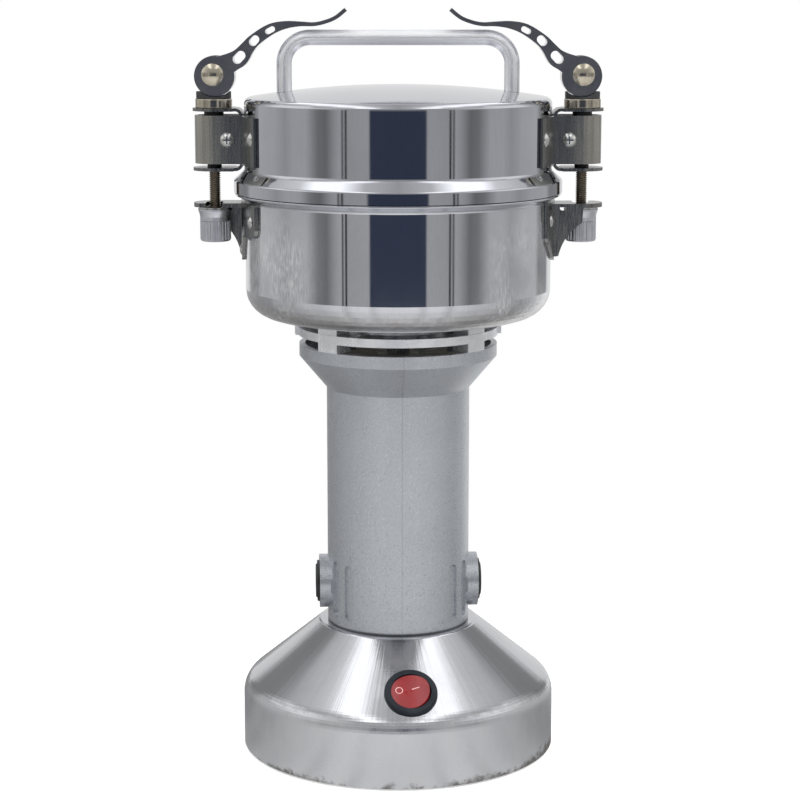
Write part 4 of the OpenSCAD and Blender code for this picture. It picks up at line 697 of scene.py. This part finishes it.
# Handle. Bent aluminium rod with a satin anodised skin.
satin, tree, shader, place = surface("satin aluminium", (0.92, 0.93, 0.96), 0.84, 0.36)
grain = noise(tree, place, 3000.0, 3.0)
patch = use(tree, smudges, Vector=place, Scale=90.0, Edge=0.25)["Mask"]
link(tree, shader, base_color=tint(tree, patch, (0.97, 0.975, 1.0), (0.92, 0.925, 0.955)),
     roughness=remap(tree, grain, 0.3, 0.7, 0.28, 0.38))
bump(tree, shader, grain, 0.02 * MM, 0.35)
dress(satin, "lid_handle")

# Straps. Bands of the same dark steel round each rod guide, warmer in tone than the brackets;
# the half of each band towards the bowl is painted darker as painted shade.
olive, tree, shader, place = surface("brown nickel", (0.24, 0.225, 0.19), 1.0, 0.28)
drawn = noise(tree, stretched(tree, place, 1.0, 1.0, 0.05), 1500.0, 3.0, 0.7)
patch = use(tree, smudges, Vector=place, Scale=80.0, Edge=0.25)["Mask"]
colour = tint(tree, patch, (0.47, 0.458, 0.41), (0.38, 0.374, 0.35))
# Painted shade: the half of each strap towards the bowl is painted a dark slate.
outward = math_node(tree, "ABSOLUTE", split(tree, place)["X"])
colour = tint(tree, remap(tree, outward, 76.5 * MM, 71.5 * MM), colour, (0.24, 0.244, 0.25))
colour = tint(tree, math_node(tree, "MULTIPLY", drawn, 0.12), colour, (0.5, 0.485, 0.43))
link(tree, shader, base_color=colour,
     roughness=remap(tree, drawn, 0.3, 0.7, 0.24, 0.3))
bump(tree, shader, drawn, 0.01 * MM, 0.08)
dress(olive, "strap_left", "strap_right")

# Clamp rods. Steel rods with a bronze tone and a rolled M5 thread from end to end. Each stands
# for the plain rod of the CAD model, which ends inside the barrel pin.
PITCH = 0.8 * MM
ROOT_R = 2.0 * MM
CREST_R = 2.44 * MM
TURN_STEPS = 28
tooth = [(0.0, ROOT_R), (0.12, ROOT_R), (0.46, CREST_R), (0.62, CREST_R)]


def threaded_rod(name, low, high, x):
    """A rod along Z: one tooth profile wound as a helix, cut square at both ends and closed."""
    mesh = bmesh.new()
    steps = int((high - low) / PITCH + 3) * TURN_STEPS
    rows = []
    for step in range(steps + 1):
        turn = step / TURN_STEPS
        angle = 2 * math.pi * turn
        row = []
        for share, radius in tooth:
            z = low + (turn - 1.5 + share) * PITCH
            row.append(mesh.verts.new((x + radius * math.cos(angle), radius * math.sin(angle), z)))
        rows.append(row)
    for step in range(steps):
        here, ahead = rows[step], rows[step + 1]
        above = step + TURN_STEPS
        for i in range(len(tooth)):
            if i + 1 < len(tooth):
                mesh.faces.new((here[i], ahead[i], ahead[i + 1], here[i + 1]))
            elif above + 1 <= steps:
                mesh.faces.new((here[i], ahead[i], rows[above + 1][0], rows[above][0]))
    for height, way in ((low, -1), (high, 1)):
        every = mesh.verts[:] + mesh.edges[:] + mesh.faces[:]
        cut = bmesh.ops.bisect_plane(
            mesh, geom=every, plane_co=(x, 0, height), plane_no=(0, 0, way), clear_outer=True)
        rim = [item for item in cut["geom_cut"] if isinstance(item, bmesh.types.BMEdge)]
        bmesh.ops.contextual_create(mesh, geom=rim)
    bmesh.ops.recalc_face_normals(mesh, faces=mesh.faces[:])
    data = bpy.data.meshes.new(name)
    mesh.to_mesh(data)
    mesh.free()
    rod = bpy.data.objects.new(name, data)
    bpy.context.scene.collection.objects.link(rod)
    deselect_all()
    rod.select_set(True)
    bpy.context.view_layer.objects.active = rod
    bpy.ops.object.shade_smooth_by_angle(angle=math.radians(35))
    return rod


bronze, tree, shader, place = surface("bronzed steel", (0.34, 0.3, 0.24), 1.0, 0.3)
patch = use(tree, smudges, Vector=place, Scale=260.0, Edge=0.25)["Mask"]
link(tree, shader, base_color=tint(tree, patch, (0.38, 0.335, 0.27), (0.22, 0.2, 0.17)),
     roughness=remap(tree, patch, 0, 1, 0.24, 0.4))
bump(tree, shader, noise(tree, place, 2500.0), 0.03 * MM, 0.4)
dress(bronze, "clamp_rod_left", "clamp_rod_right")
for side in ("left", "right"):
    low_corner, high_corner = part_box(f"clamp_rod_{side}")
    middle = (low_corner[0] + high_corner[0]) / 2
    rod = threaded_rod(f"threaded_rod_{side}", low_corner[2], high_corner[2], middle)
    rod.data.materials.append(bronze)
    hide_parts(f"clamp_rod_{side}")
    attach(rod, "lid")

# Pins, rings and levers. Nickel rings and pins with domed ends; the levers are machined from
# aluminium plate, anodised dark on their faces and polished bright on their edges.
nickel, tree, shader, place = surface("warm nickel", (0.62, 0.57, 0.46), 1.0, 0.16)
patch = use(tree, smudges, Vector=place, Scale=300.0, Edge=0.25)["Mask"]
link(tree, shader, base_color=tint(tree, patch, (0.66, 0.61, 0.5), (0.5, 0.45, 0.36)),
     roughness=remap(tree, patch, 0, 1, 0.12, 0.22))
bump(tree, shader, noise(tree, place, 2000.0), 0.02 * MM, 0.3)
dress(nickel, "pin_left", "pin_right", "thrust_rings")

gunmetal, tree, shader, place = surface("anodised lever", (0.15, 0.157, 0.185), 1.0, 0.3)
facing = split(tree, add_node(tree, "TexCoord").outputs["Normal"])["Y"]
edge = remap(tree, math_node(tree, "ABSOLUTE", facing), 0.85, 0.6)
patch = use(tree, smudges, Vector=place, Scale=150.0, Edge=0.25)["Mask"]
face = tint(tree, patch, (0.19, 0.196, 0.225), (0.27, 0.277, 0.3))
link(tree, shader, base_color=tint(tree, edge, face, (0.7, 0.7, 0.71)),
     roughness=remap(tree, edge, 0, 1, 0.34, 0.16))
bump(tree, shader, noise(tree, place, 2600.0, 3.0), 0.03 * MM, 0.4)
dress(gunmetal, "lever_left", "lever_right")
